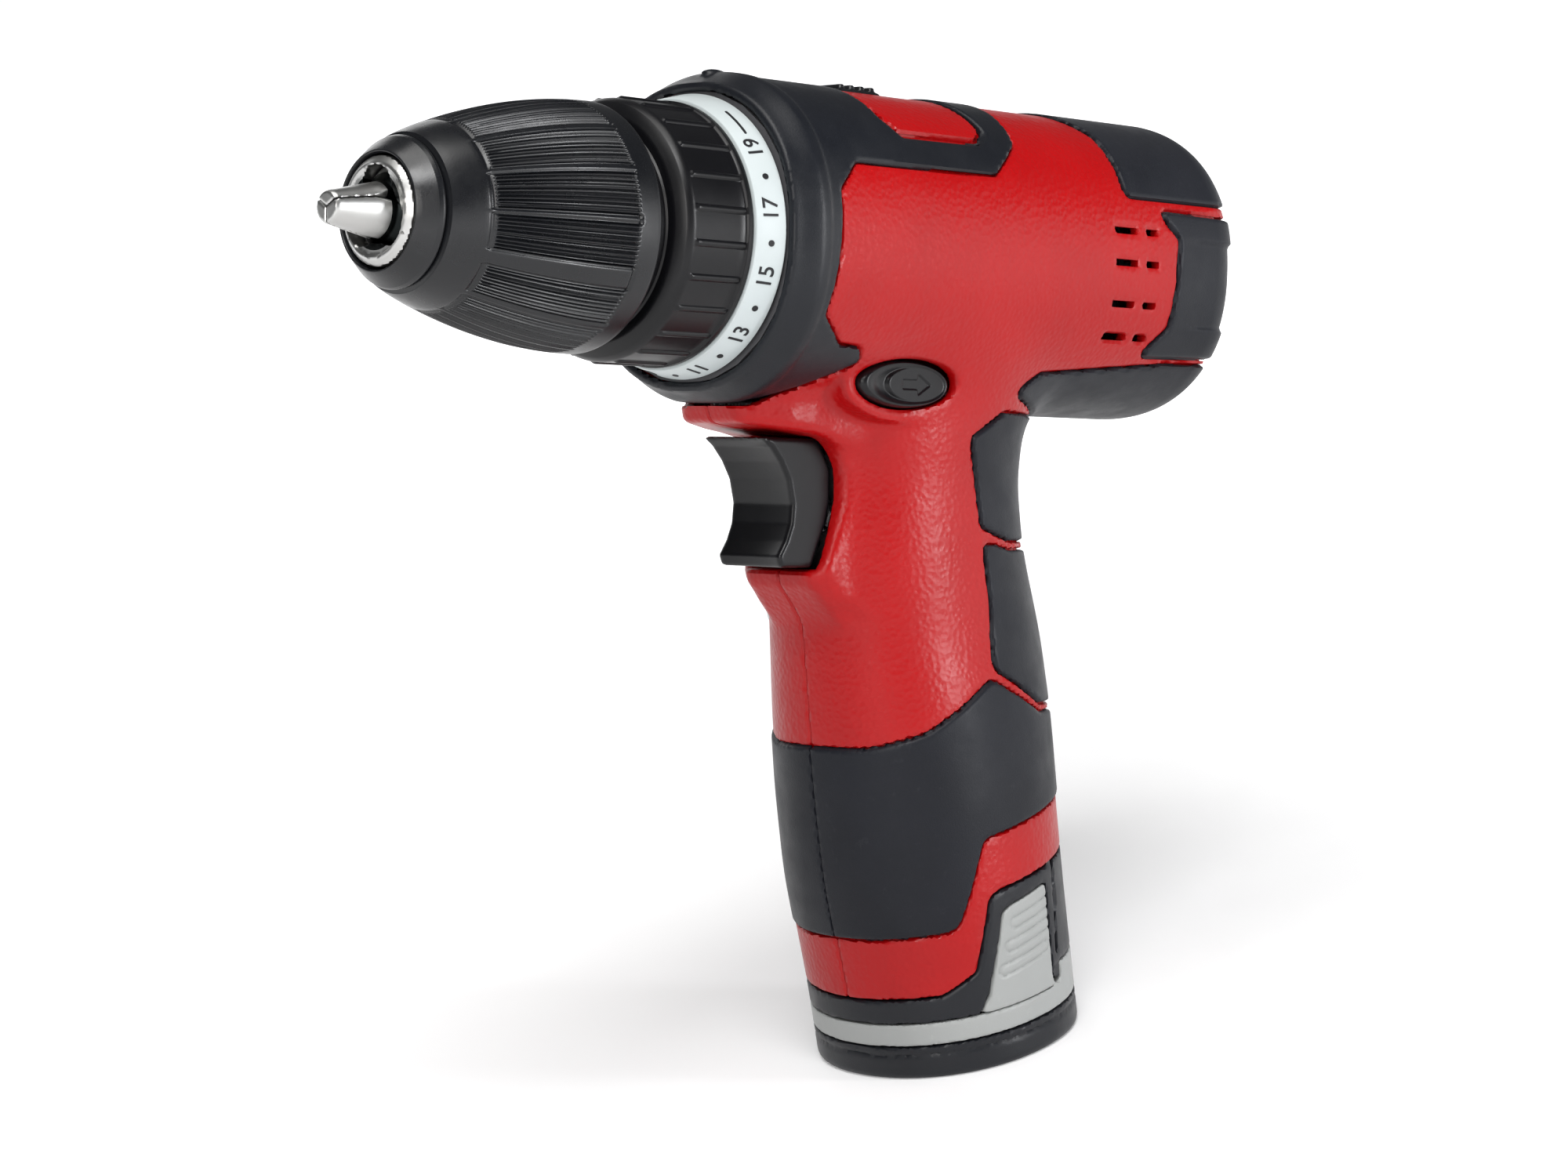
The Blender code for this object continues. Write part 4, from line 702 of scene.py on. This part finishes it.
def ringSurface(profile, count, radial=None):
    # point (i, j) is profile point i turned by angle j; radial(x, angle) is added to the radius
    p = np.asarray(profile, float)
    angle = np.linspace(0, 2 * np.pi, count, endpoint=False)
    x, r = p[:, :1] + 0 * angle, p[:, 1:2] + 0 * angle
    if radial is not None:
        r = r + radial(x, angle[None] + 0 * x) * p[:, 2:3]
    points = np.stack([x, -r * np.sin(angle), r * np.cos(angle)], -1).reshape(-1, 3)
    rows = len(p)
    i, j = np.meshgrid(np.arange(rows), np.arange(count), indexing="ij")
    ahead, after = (i + 1) % rows, (j + 1) % count
    faces = np.stack([i * count + j, ahead * count + j, ahead * count + after, i * count + after], -1)
    return points, faces.reshape(-1, 4)


def softProfile(corners, r, active=1.0):
    # a closed profile with its corners turned to arcs; the third column says how much relief it takes
    p = roundCorners(corners, r, 4)
    return np.column_stack([p, np.full(len(p), active)])


def turnedPiece(name, profile, count, body, slotName, finish, *nodes, radial=None, sharp=35):
    # a closed profile turned about the spindle; the sign of its area tells which way its faces run
    p = np.asarray(profile, float)
    if p.shape[1] == 2:
        p = np.column_stack([p, np.zeros(len(p))])
    area = np.sum(p[:, 0] * np.roll(p[:, 1], -1) - np.roll(p[:, 0], -1) * p[:, 1])
    points, faces = ringSurface(p, count, radial)
    if area < 0:
        faces = faces[:, ::-1]
    return finishPiece(addMesh(name, points, faces, sharp), body, slotName, finish, *nodes)


sleeve = {
    "front": -38.6, "noseR": 13.0, "rearR": 21.5, "swell": 0.85, "columns": 1080, "wall": 2.0,
    "panel": (-31.2, -4.6), "panelHalf": 9.6, "ribs": 9, "ribDepth": 0.48, "frameDepth": 0.4,
    "frameWidth": 0.45, "flankWidth": 0.3, "stripDepth": 0.3,
    # middles of the ribbed panels, in degrees up from the line towards the camera's side
    "panels": (90, 66, 42, 17.7, -6, -37, -62, -86, -117, -142, -166, -197, -221, -245),
    "facing": -5.1,
    # middle and half width of the plain strips that a line closes at the rear, in degrees
    "strips": ((6, 1.9), (-21.5, 5.6), (-101.5, 5.6), (-181.5, 5.6)),
}


def sleeveRadius(x):
    # a quarter of a sine from the nose's radius to the rear's, its share of the length raised to a power
    s = sleeve
    share = np.clip((x - s["front"]) / -s["front"], 0, 1)
    return s["noseR"] + (s["rearR"] - s["noseR"]) * np.sin(np.pi / 2 * share) ** s["swell"]


def sleeveRelief(x, angle):
    # grooves between the ribs are raised cosines across each panel; a frame line runs round its front and
    # flanks, its depth a bell across the distance from it
    s = sleeve
    up = 90 - np.degrees(angle) - s["facing"]
    relief = np.zeros_like(x)
    start, stop = s["panel"]
    along = ramp(x, start, start + 0.5) * ramp(-x, -stop, -stop + 0.5)
    beside = ramp(x, start - 1, start) * ramp(-x, -stop - 0.4, -stop)
    before = np.exp(-((x - start + 0.5) / s["frameWidth"]) ** 2)
    edge = np.radians(s["panelHalf"]) * sleeveRadius(x)
    pitch = 2 * s["panelHalf"] / s["ribs"]
    for middle in s["panels"]:
        off = (up - middle + 180) % 360 - 180
        wave = 0.5 + 0.5 * np.cos(2 * np.pi * (off + s["panelHalf"]) / pitch)
        relief -= np.where(np.abs(off) < s["panelHalf"], s["ribDepth"] * wave ** 1.4 * along, 0)
        mm = np.radians(np.abs(off)) * sleeveRadius(x)
        front = before * ramp(edge + 0.5 - mm, 0, 0.3)
        flank = np.exp(-((mm - edge - 0.25) / s["flankWidth"]) ** 2) * beside
        relief -= s["frameDepth"] * np.maximum(front, 0.75 * flank)
    for middle, half in s["strips"]:
        off = np.abs((up - middle + 180) % 360 - 180)
        relief -= s["stripDepth"] * np.exp(-((x - stop) / s["flankWidth"]) ** 2) * (off < half)
    return relief


def sleeveProfile():
    # the outside from nose to rim, then back along a wall of even thickness; rows with 1 in the third
    # column take the relief
    s = sleeve
    start, stop = s["panel"]
    x = np.unique(np.concatenate([
        np.linspace(s["front"] + 0.3, start - 1.4, 8), np.linspace(start - 1.4, start + 0.8, 12),
        np.linspace(start + 0.8, stop - 0.8, 26), np.linspace(stop - 0.8, stop + 0.8, 9),
        np.linspace(stop + 0.8, -0.5, 7)]))
    outer = np.column_stack([x, sleeveRadius(x), np.ones_like(x)])
    nose = [(-38.4, 12.65, 0), (-38.6, 12.3, 0), (-38.6, 11.5, 0), (-38.3, 11.2, 0), (-35.6, 11.2, 0)]
    innerX = np.linspace(-35.4, -2.2, 8)
    inner = [(a, b - s["wall"], 0) for a, b in zip(innerX, sleeveRadius(innerX))]
    rim = [(-2.0, 15.6, 0), (-0.3, 15.4, 0), (0, 15.7, 0), (0, 21.0, 0), (-0.15, 21.36, 0)]
    return np.array([*map(tuple, outer), *reversed(rim), *reversed(inner), *reversed(nose)])


turnedPiece("chuckSleeve", sleeveProfile(), sleeve["columns"], "chuck_sleeve", "black_plastic",
            "satinBlack", "chuck_sleeve", radial=sleeveRelief, sharp=50)
noseCollar = [(-43.2, 9.65), (-43.2, 9.95), (-42.4, 10.6), (-40.2, 12.3), (-39.5, 12.6), (-38.95, 12.55),
              (-38.95, 9.4), (-42.6, 9.4)]
turnedPiece("noseCollar", softProfile(noseCollar, 0.35, 0), 144, "chuck_sleeve", "black_plastic",
            "satinBlack", "chuck_nose_collar", sharp=50)

clutch = {"radius": 22.6, "columns": 960, "ribs": 24, "firstRib": 6.9, "ribHalf": 0.3, "ribHeight": 0.42,
          "ribFrom": 7.2, "ribTo": 18.0}


def clutchRelief(x, angle):
    # thin ribs with rounded tops, evenly spaced, fading at both ends
    c = clutch
    pitch = 360 / c["ribs"]
    off = (np.degrees(angle) - c["firstRib"] + pitch / 2) % pitch - pitch / 2
    mm = np.abs(np.radians(off)) * c["radius"]
    rib = c["ribHeight"] * np.sqrt(np.clip(1 - (mm / (2 * c["ribHalf"])) ** 2, 0, 1))
    return rib * ramp(x, c["ribFrom"] - 0.7, c["ribFrom"]) * ramp(-x, -c["ribTo"] - 0.3, -c["ribTo"])


def clutchProfile():
    # a straight barrel whose front rolls in as a power curve and whose rear ends in a small bead
    x = np.concatenate([np.linspace(5.0, 7.2, 10), np.linspace(8.0, 18.0, 8), np.linspace(18.3, 19.2, 5)])
    r = clutch["radius"] - 2.0 * np.clip((6.6 - x) / 2.6, 0, 1) ** 1.8 + 0.55 * ramp(x, 18.2, 18.5)
    outer = [(a, b, 1) for a, b in zip(x, r)]
    front = [(1.2, 12.95, 0), (1.2, 17.8, 0), (1.6, 18.2, 0), (3.7, 18.2, 0), (4.0, 18.5, 0), (4.0, 19.6, 0),
             (4.2, 20.2, 0), (4.6, 20.75, 0)]
    back = [(19.5, 23.1, 0), (19.5, 17.6, 0), (7, 17.6, 0), (7, 12.95, 0)]
    return np.array(front + outer + back)


turnedPiece("torqueRing", clutchProfile(), clutch["columns"], "clutch_ring", "black_plastic", "glossBlack",
            "torque_ring", radial=clutchRelief, sharp=40)

scaleRing = {"front": (19.8, 23.6), "rear": (25.6, 25.0), "bore": 19.6}      # x and radius of the cone's ends
(frontX, frontR), (rearX, rearR) = scaleRing["front"], scaleRing["rear"]
ringCorners = [(frontX, scaleRing["bore"]), (frontX, frontR), (rearX, rearR), (rearX, scaleRing["bore"])]
turnedPiece("numberRing", softProfile(ringCorners, 0.25, 0), 240, "clutch_ring", "number_ring", "scale",
            "torque_scale", sharp=40)
print("chuck sleeve, torque ring and number ring made")


# the numbers, wrapped on the ring's cone

numbers = {"highest": 19, "count": 10, "size": 4.1, "first": 53.5, "step": 27.5, "middleX": 22.7,
           "raise": 0.05, "thick": 0.12, "dot": 0.55, "line": (30.5, 46.0, 0.22)}


def wrapOnCone(u, v, w, angle):
    # u runs up round the ring, v towards the chuck and w outwards; angle is from the top down the left side
    x = numbers["middleX"] - v
    r = frontR + (x - frontX) * (rearR - frontR) / (rearX - frontX) + w
    turn = np.radians(angle) - u / r
    return np.stack([x, -r * np.sin(turn), r * np.cos(turn)], -1)


def flatText(text):
    # the font's outline with a little thickness, as triangles that all face outwards
    curve = bpy.data.curves.new("text", "FONT")
    curve.body, curve.size, curve.align_x, curve.align_y = text, numbers["size"], "CENTER", "CENTER"
    curve.extrude, curve.resolution_u, curve.offset = numbers["thick"] / 2, 6, 0.02
    obj = bpy.data.objects.new("text", curve)
    bpy.context.scene.collection.objects.link(obj)
    bpy.context.view_layer.update()
    mesh = bpy.data.meshes.new_from_object(obj.evaluated_get(bpy.context.evaluated_depsgraph_get()))
    work = bmesh.new()
    work.from_mesh(mesh)
    bmesh.ops.remove_doubles(work, verts=work.verts, dist=1e-5)
    bmesh.ops.triangulate(work, faces=work.faces)
    bmesh.ops.recalc_face_normals(work, faces=work.faces)
    work.to_mesh(mesh)
    work.free()
    points = np.empty(len(mesh.vertices) * 3, np.float32)
    faces = np.empty(len(mesh.loops), np.int32)
    mesh.vertices.foreach_get("co", points)
    mesh.loops.foreach_get("vertex_index", faces)
    points, faces = points.astype(float).reshape(-1, 3), faces.astype(int).reshape(-1, 3)
    bpy.data.objects.remove(obj)
    bpy.data.curves.remove(curve)
    bpy.data.meshes.remove(mesh)
    return points, faces


def flatBar(halfU, halfV, count=24, power=2.0):
    # a flat disc or bar with a rim: two fans of a superellipse joined at the edge
    a = np.linspace(0, 2 * np.pi, count, endpoint=False)
    u = halfU * np.sign(np.cos(a)) * np.abs(np.cos(a)) ** (2 / power)
    v = halfV * np.sign(np.sin(a)) * np.abs(np.sin(a)) ** (2 / power)
    t = numbers["thick"] / 2
    points = np.concatenate([np.column_stack([u, v, 0 * u + t]), np.column_stack([u, v, 0 * u - t]),
                             [(0, 0, t), (0, 0, -t)]])
    i = np.arange(count)
    j = (i + 1) % count
    faces = np.concatenate([np.column_stack([i, j, 0 * i + 2 * count]),
                            np.column_stack([j + count, i + count, 0 * i + 2 * count + 1]),
                            np.column_stack([i, i + count, j]), np.column_stack([j, i + count, j + count])])
    return points, faces


def addNumbers():
    # every second number, a dot between each two and one line above the highest, all wrapped and joined
    n = numbers
    places = [n["first"] + n["step"] * k for k in range(n["count"])]
    marks = [(flatText(str(n["highest"] - 2 * k)), angle) for k, angle in enumerate(places)]
    marks += [(flatBar(n["dot"], n["dot"]), angle + n["step"] / 2) for angle in places[:-1]]
    a, b, half = n["line"]
    length = math.radians(b - a) * (frontR + rearR) / 4
    marks.append((flatBar(length, half, 96, 12), (a + b) / 2))
    allPoints, allFaces, base = [], [], 0
    for (points, faces), angle in marks:
        allPoints.append(wrapOnCone(points[:, 0], points[:, 1], points[:, 2] + n["raise"], angle))
        allFaces.append(faces + base)
        base += len(points)
    obj = addMesh("ringNumbers", np.concatenate(allPoints), np.concatenate(allFaces), 30)
    return finishPiece(obj, "clutch_ring", "black_plastic", "ink")


addNumbers()
print("numbers made")


# chuck body and jaws

jaws = {"tilt": 15.0, "apex": -57.0, "r": 3.5, "tip": -53.5, "length": 29.0, "gap": 0.16, "first": 90.0,
        "slack": 0.3, "cone": [(-54.5, 2.0), (-53.5, 2.45), (-52.9, 2.75), (-42.8, 4.9), (-10, 40)]}


def jawDistance(x, y, z, angle):
    # distance to a jaw's middle line
    tilt = math.radians(jaws["tilt"])
    dx, dy, dz = math.cos(tilt), math.sin(tilt) * math.cos(angle), math.sin(tilt) * math.sin(angle)
    px = x - jaws["apex"]
    along = px * dx + y * dy + z * dz
    return np.sqrt((px - along * dx) ** 2 + (y - along * dy) ** 2 + (z - along * dz) ** 2)


jawAngles = [math.radians(jaws["first"] + 120 * i) for i in range(3)]


bodyCorners = [(-43.5, 5.3), (-43.5, 7.2), (-43.8, 7.4), (-43.8, 7.9), (-42.9, 9.0), (-39.4, 9.0),
               (-27, 10.9), (-18, 10.9), (-18, 15), (-1, 15), (-1, 5.3), (-14, 5.3)]
bodyTable = flatTable(roundCorners(bodyCorners, 0.18, 3), 0.1, (-46, 2), (-0.5, 18))


def chuckBodyField(x, y, z):
    # a turned body, by x and the distance from the spindle, with a slanting hole for each jaw
    body = bodyTable(x, np.hypot(y, z))
    for angle in jawAngles:
        body = roundMax(body, -(jawDistance(x, y, z, angle) - jaws["r"] - jaws["slack"]), 0.15)
    return body


fieldPiece("chuckBody", chuckBodyField, (-44.5, -15.6, -15.6), (-0.4, 15.6, 15.6), 0.42, "spindle",
           "satin_steel", "chuckSteel", "chuck_body", sharp=30)


def jawField(x, y, z, angle):
    # a round bar, cut to a third of the circle and to the cone of the closed tip
    j = jaws
    c, s = math.cos(angle), math.sin(angle)
    across, outward = -y * s + z * c, y * c + z * s
    sixty = math.pi / 3
    sector = np.maximum(across * math.cos(sixty) - outward * math.sin(sixty),
                        -across * math.cos(sixty) - outward * math.sin(sixty)) + j["gap"]
    xs, rs = zip(*j["cone"])
    cone = (np.hypot(y, z) - np.interp(x, xs, rs)) * 0.97
    ends = np.maximum(j["tip"] - x, x - j["tip"] - j["length"])
    bar = roundMax(jawDistance(x, y, z, angle) - j["r"], roundMax(cone, sector, 0.12), 0.12)
    return roundMax(bar, ends, 0.2)


for i, angle in enumerate(jawAngles, 1):
    across, up = 12 * math.cos(angle), 12 * math.sin(angle)
    low = (-54, min(0, across) - 3.4, min(0, up) - 3.4)
    high = (-24, max(0, across) + 3.4, max(0, up) + 3.4)
    fieldPiece(f"jaw{i}", lambda x, y, z: jawField(x, y, z, angle), low, high, 0.24, f"jaw_{i}",
               "satin_steel", "chuckSteel", f"jaw_{i}", sharp=30)
print("chuck body and jaws made")


# trigger, direction button, speed switch and screws

controls = {
    "trigger": [(37.6, -34.6), (40.2, -36.4), (42.6, -39), (44.6, -42.2), (45.7, -46.4), (45.4, -50),
                (44.2, -53), (42.4, -55.8), (43.2, -57.7), (51, -57.7), (54.4, -50), (55.4, -46), (55.4, -40),
                (52.2, -34.6)],
    "triggerHalf": 7.9, "triggerRound": 1.1, "scoop": 0.9, "scoopFade": (-51, -43),
    "stem": ((48, -5, -54), (56, 5, -42.1)),
    "springPocket": (49.4, -48.05, 4.1),
    "button": {"at": (62.1, -24.6), "half": (11.4, 4.2), "reach": 19.8, "rim": 0.9, "bowl": 1.0,
               "island": (2.7, 7.4, 3.2), "islandDrop": 0.35, "arrowDepth": 0.3},
    "arrow": [(-3.6, 0.9), (0.4, 0.9), (0.4, 2.0), (3.8, 0), (0.4, -2.0), (0.4, -0.9), (-3.6, -0.9)],
    "knob": ((56.5, -6.2, 22.4), (68.0, 6.2, 28.5)), "slide": ((41.0, -6.8, 21.5), (78.0, 6.8, 24.0)),
    "knobRibs": {"start": 57.8, "pitch": 2.6, "count": 4, "wide": 1.3, "half": 5.6, "top": 29.4},
}
triggerTable = flatTable(roundCorners(controls["trigger"], 0.9), 0.2)


def triggerField(x, y, z):
    # the side view's outline as thick as the trigger is wide, with a box behind it as its stem
    c = controls
    # the front face is scooped a little across as well as along
    push = c["scoop"] * np.clip(1 - (y / c["triggerHalf"]) ** 2, 0, 1) * ramp(-x, *c["scoopFade"])
    blade = roundMax(triggerTable(x - push, z), np.abs(y) - c["triggerHalf"], c["triggerRound"])
    # a blind hole in the stem takes the spring when the trigger is pulled
    start, middle, r = c["springPocket"]
    hole = np.maximum(np.hypot(y, z - middle) - r, start - x)
    return np.maximum(roundMin(blade, boxField(x, y, z, *c["stem"]), 0.4), -hole)


fieldPiece("triggerBlade", triggerField, (36.6, -8.6, -58.4), (57, 8.6, -34), 0.36, "trigger",
           "black_plastic", "glossBlack", "trigger", sharp=40)


def buttonSurface():
    # rings of an oval: up the middle of one end, over its rim, along the side to the other end's middle
    b = controls["button"]
    a = np.linspace(0, 2 * np.pi, 160, endpoint=False)[None]
    share = np.concatenate([np.linspace(0.02, 0.84, 44), np.linspace(0.855, 0.97, 10), [0.985, 1.0]])[:, None]
    u, v = b["half"][0] * share * np.cos(a), b["half"][1] * share * np.sin(a)
    # a bowl falls in from the rim; an oval island stands in it nearer the rear, with an arrow in its top
    rim = b["rim"] * np.clip((share - 0.88) / 0.12, 0, 1) ** 2.2
    bowl = b["reach"] - rim - b["bowl"] * (1 - ramp(share, 0.5, 0.9))
    shift, a1, a2 = b["island"]
    island = np.hypot((u - shift) / a1, v / a2)
    out = bowl + (b["reach"] - b["islandDrop"] - bowl) * (1 - ramp(island, 0.93, 1.07))
    arrow = outlineField(roundCorners(controls["arrow"], 0.25, 3), u - shift, v)
    y = -(out - b["arrowDepth"] * (1 - ramp(arrow, -0.2, 0.15)) + 0 * u)
    x, z = b["at"][0] + u, b["at"][1] + v
    near = np.stack([x, y, z], -1)
    far = near[::-1] * np.array([1, -1, 1])
    side = np.stack([x[-1:], 0 * x[-1:], z[-1:]], -1)
    rings = np.concatenate([near, side, far])
    rows, count = rings.shape[:2]
    middles = [(b["at"][0], sign * y[0].mean(), b["at"][1]) for sign in (1, -1)]
    i, j = np.meshgrid(np.arange(rows - 1), np.arange(count), indexing="ij")
    after = (j + 1) % count
    quads = np.stack([i * count + j, (i + 1) * count + j, (i + 1) * count + after, i * count + after], -1)
    # a fan of triangles from each end's middle to its first ring
    j, after, last = j[0], after[0], (rows - 1) * count
    fans = [np.column_stack([0 * j + rows * count, j, after]),
            np.column_stack([0 * j + rows * count + 1, last + after, last + j])]
    faces = quads.reshape(-1, 4).tolist() + np.concatenate(fans).tolist()
    return np.concatenate([rings.reshape(-1, 3), middles]), faces


finishPiece(addMesh("directionButton", *buttonSurface(), 40, turnOut=True), "direction_button",
            "black_plastic", "glossBlack", "direction_button")


def roundBox(x, y, z, low, high, r):
    # a box whose edges are turned to radius r
    d = roundMax(np.maximum(low[0] - x, x - high[0]), np.maximum(low[1] - y, y - high[1]), r)
    return roundMax(d, np.maximum(low[2] - z, z - high[2]), r)


def switchField(x, y, z):
    # a knob with even ribs across its top, on a long flat slide that closes the slot at both ends
    knob, ribs = roundBox(x, y, z, *controls["knob"], 0.8), controls["knobRibs"]
    for i in range(ribs["count"]):
        start = ribs["start"] + i * ribs["pitch"]
        low, high = (start, -ribs["half"], 24), (start + ribs["wide"], ribs["half"], ribs["top"])
        rib = roundBox(x, y, z, low, high, 0.5)
        knob = roundMin(knob, rib, 0.3)
    return roundMin(knob, roundBox(x, y, z, *controls["slide"], 0.4), 0.3)


fieldPiece("speedKnob", switchField, (40.5, -7.4, 21), (78.6, 7.4, 29.9), 0.36, "speed_switch",
           "black_plastic", "satinBlack", "speed_switch", sharp=40)

screw = {"headR": 2.75, "headHigh": 1.7, "crossHalf": 0.38, "crossReach": 1.55, "crossDeep": 1.3,
         "shankR": 1.42, "thread": 0.1, "pitch": 0.9}

for i, (sx, sz) in enumerate(shellForm["screws"], 1):
    low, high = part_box(f"housing_screw_{i}")
    reach, foot = high.y * 1000, low.y * 1000

    def screwField(x, y, z):
        # a pan head with a cross recess on a plain shank
        u, w, depth = x - sx, z - sz, reach - y
        r = np.hypot(u, w)
        head = roundMax(r - screw["headR"], np.maximum(-depth, depth - screw["headHigh"]), 0.35)
        arms = [np.maximum(np.abs(a) - screw["crossHalf"], np.abs(b) - screw["crossReach"])
                for a, b in ((u, w), (w, u))]
        cross = np.maximum(np.minimum(*arms) + 0.25 * depth, depth - screw["crossDeep"])
        turns = y / screw["pitch"] + np.arctan2(w, u) / (2 * np.pi)
        shank = np.maximum(r - screw["shankR"] - screw["thread"] * np.cos(2 * np.pi * turns),
                           np.maximum(foot - y, y - reach + 1.0))
        return roundMin(roundMax(head, -cross, 0.08), shank, 0.2)

    fieldPiece(f"screw{i}", screwField, (sx - 3, foot - 0.2, sz - 3), (sx + 3, reach + 0.2, sz + 3), 0.26,
               "housing", "zinc_screw", "zinc", f"housing_screw_{i}", sharp=40)
print("controls and screws made")


# battery pack: everything here is measured up from the foot

pack = {
    "footEdge": 1.5, "capFloor": 2.3, "capTop": 6.2, "capGroove": (4.7, 0.35), "capRoom": 0.6,
    "beltLow": 6.5, "beltTop": 10.6, "caseLow": 10.9, "gap": 0.4, "beltDepth": 1.6, "beltRise": 3.6,
    "riseFrom": (101, 102),
    "stickTop": 69.2, "stickHalf": (20.6, 19.2), "stickX": -1.0, "wall": 1.6, "latchDepth": 1.7,
    # how far the stick and the neck round it go down past the case's lower edge, how deep the neck sits
    "stickDown": 4.2, "neckDown": 4.4, "neckIn": 1.9, "neckUp": 0.5, "pocketDepth": 4.2, "pocketFrom": 9,
    # two slanting strips: both ends, half width; how deep each goes
    "tongue": ((100.1, -108), (102.7, -133.2), 1.35), "tongueGap": 0.12, "tongueLow": 8.4,
    "tongueDepth": (0.25, 4), "slot": ((100.6, -104), (102.6, -128.8), 0.28), "slotDepth": 2,
}


def footHeight(x, z):
    # millimetres above the floor
    lean = math.radians(stance["leanDegrees"])
    u, w = x - stance["footX"], z - stance["footZ"]
    return -u * math.sin(lean) + w * math.cos(lean)


def stickField(x, y, z, margin):
    # the upright superellipse that holds the cells, grown by a margin
    lean = math.radians(stance["leanDegrees"])
    along = (x - stance["footX"]) * math.cos(lean) + (z - stance["footZ"]) * math.sin(lean)
    a, b = pack["stickHalf"]
    return superDistance(along - pack["stickX"], y, a + margin, b + margin, 2.2)


def stripField(x, z, strip):
    # distance from the line between the strip's ends, less its half width, so that the ends are round
    (ax, az), (bx, bz), half = strip
    ex, ez = bx - ax, bz - az
    t = np.clip(((x - ax) * ex + (z - az) * ez) / (ex * ex + ez * ez), 0, 1)
    return np.hypot(x - ax - t * ex, z - az - t * ez) - half


def capField(x, y, z):
    # the handle's skin carried down to a flat foot with a groove round it, hollow where the stick stands
    p, h = pack, footHeight(x, z)
    d = roundMax(handleField(x, y, z), -h, p["footEdge"])
    middle, wide = p["capGroove"]
    d = roundMax(d + wide * np.exp(-((h - middle) / wide) ** 2), h - p["capTop"], 0.45)
    return np.maximum(d, -np.maximum(stickField(x, y, z, p["capRoom"]), p["capFloor"] - h))


def beltField(x, y, z):
    # a band of the handle's skin that steps up behind the tongue
    p, h, skin = pack, footHeight(x, z), handleField(x, y, z)
    top = p["beltTop"] + p["beltRise"] * ramp(x, *p["riseFrom"])
    d = roundMax(skin, np.maximum(p["beltLow"] - h, (h - top) * 0.8), 0.4)
    d = roundMax(d, p["tongueGap"] - stripField(x, z, p["tongue"]), 0.3)
    return np.maximum(d, -(skin + p["beltDepth"]))


def caseField(x, y, z):
    # the skin under the handle's skirt, a tongue and a slot beside each panel, and the hollow stick inside
    p, h, bare = pack, footHeight(x, z), handleField(x, y, z)
    low = p["caseLow"] + p["beltRise"] * ramp(x, *p["riseFrom"])
    skin = roundMax(bare, tables["skirt"](x, z) + p["gap"], 0.5)
    skin = roundMax(skin, (low - h) * 0.8, 0.3)
    sunk, deep = p["tongueDepth"]
    tongue = np.maximum(np.maximum(bare + sunk, stripField(x, z, p["tongue"])), p["tongueLow"] - h)
    skin = np.minimum(skin, np.maximum(tongue, -(bare + deep)))
    skin = roundMax(skin, -np.maximum(stripField(x, z, p["slot"]), -(bare + p["slotDepth"])), 0.15)
    ends = np.maximum(p["caseLow"] - p["stickDown"] - h, h - p["stickTop"])
    stick = roundMax(stickField(x, y, z, 0), ends, 0.8)
    ends = np.maximum(p["caseLow"] - p["neckDown"] - h, h - p["caseLow"] - p["neckUp"])
    neck = np.maximum(bare + p["neckIn"], ends)
    d = np.minimum(np.minimum(skin, stick), neck)
    d = np.maximum(d, -np.maximum(stickField(x, y, z, -p["wall"]), h - p["stickTop"] + p["wall"]))
    pocket = np.maximum(tables["latch"](x, z) - 0.3, -(bare + p["pocketDepth"]))
    return roundMax(d, -np.maximum(pocket, p["pocketFrom"] - np.abs(y)), 0.2)


latchMarks = {
    # slot outlines pressed into the panel: middle, half length, half height, in the panel's own slant
    "slots": ((94.2, -120.8, 5.9, 1.0), (93.7, -125.0, 6.4, 1.0), (93.2, -129.3, 6.8, 1.0)),
    "slant": 19.8, "width": 0.26, "depth": 0.3,
}


def latchRecess(x, z):
    # a groove along each slot's outline, its depth a bell across the distance from it
    m = latchMarks
    c, s = math.cos(math.radians(m["slant"])), math.sin(math.radians(m["slant"]))
    depth = 0 * x
    for cx, cz, a, b in m["slots"]:
        u, v = (x - cx) * c + (z - cz) * s, -(x - cx) * s + (z - cz) * c
        pill = np.hypot(np.maximum(np.abs(u) - a + b, 0), v) - b
        depth = np.maximum(depth, m["depth"] * np.exp(-(pill / m["width"]) ** 2))
    return depth


def latchField(x, y, z):
    # the handle's skin inside the panel's outline, above the belt and clear of the tongue
    p, skin = pack, handleField(x, y, z)
    d = roundMax(skin - 0.05 + latchRecess(x, z), tables["latch"](x, z), 0.3)
    d = roundMax(d, p["beltTop"] + 0.1 - footHeight(x, z), 0.1)
    d = roundMax(d, p["tongueGap"] - stripField(x, z, p["tongue"]), 0.2)
    return np.maximum(d, -(skin + p["latchDepth"]))


fieldPiece("packCap", capField, (72, -25.2, -160), (126, 25.2, -133), 0.62, "battery", "black_plastic",
           "caseBlack", "battery_cap", sharp=40)
fieldPiece("packBelt", beltField, (70, -25.2, -154), (124, 25.2, -128), 0.5, "battery", "grey_plastic",
           "grey", "battery_belt", sharp=40)
fieldPiece("packCase", caseField, (66, -25.2, -152), (124, 25.2, -70), 0.62, "battery", "black_plastic",
           "caseBlack", "battery_case", sharp=40)
for side in ("left", "right"):
    fieldPiece("packLatch" + side.capitalize(), latchField, (84, -25.2, -140), (104, -9, -114), 0.36,
               f"latch_{side}", "grey_plastic", "grey", f"battery_latch_{side}",
               mirror=side == "right", sharp=40)
print("battery pack made")
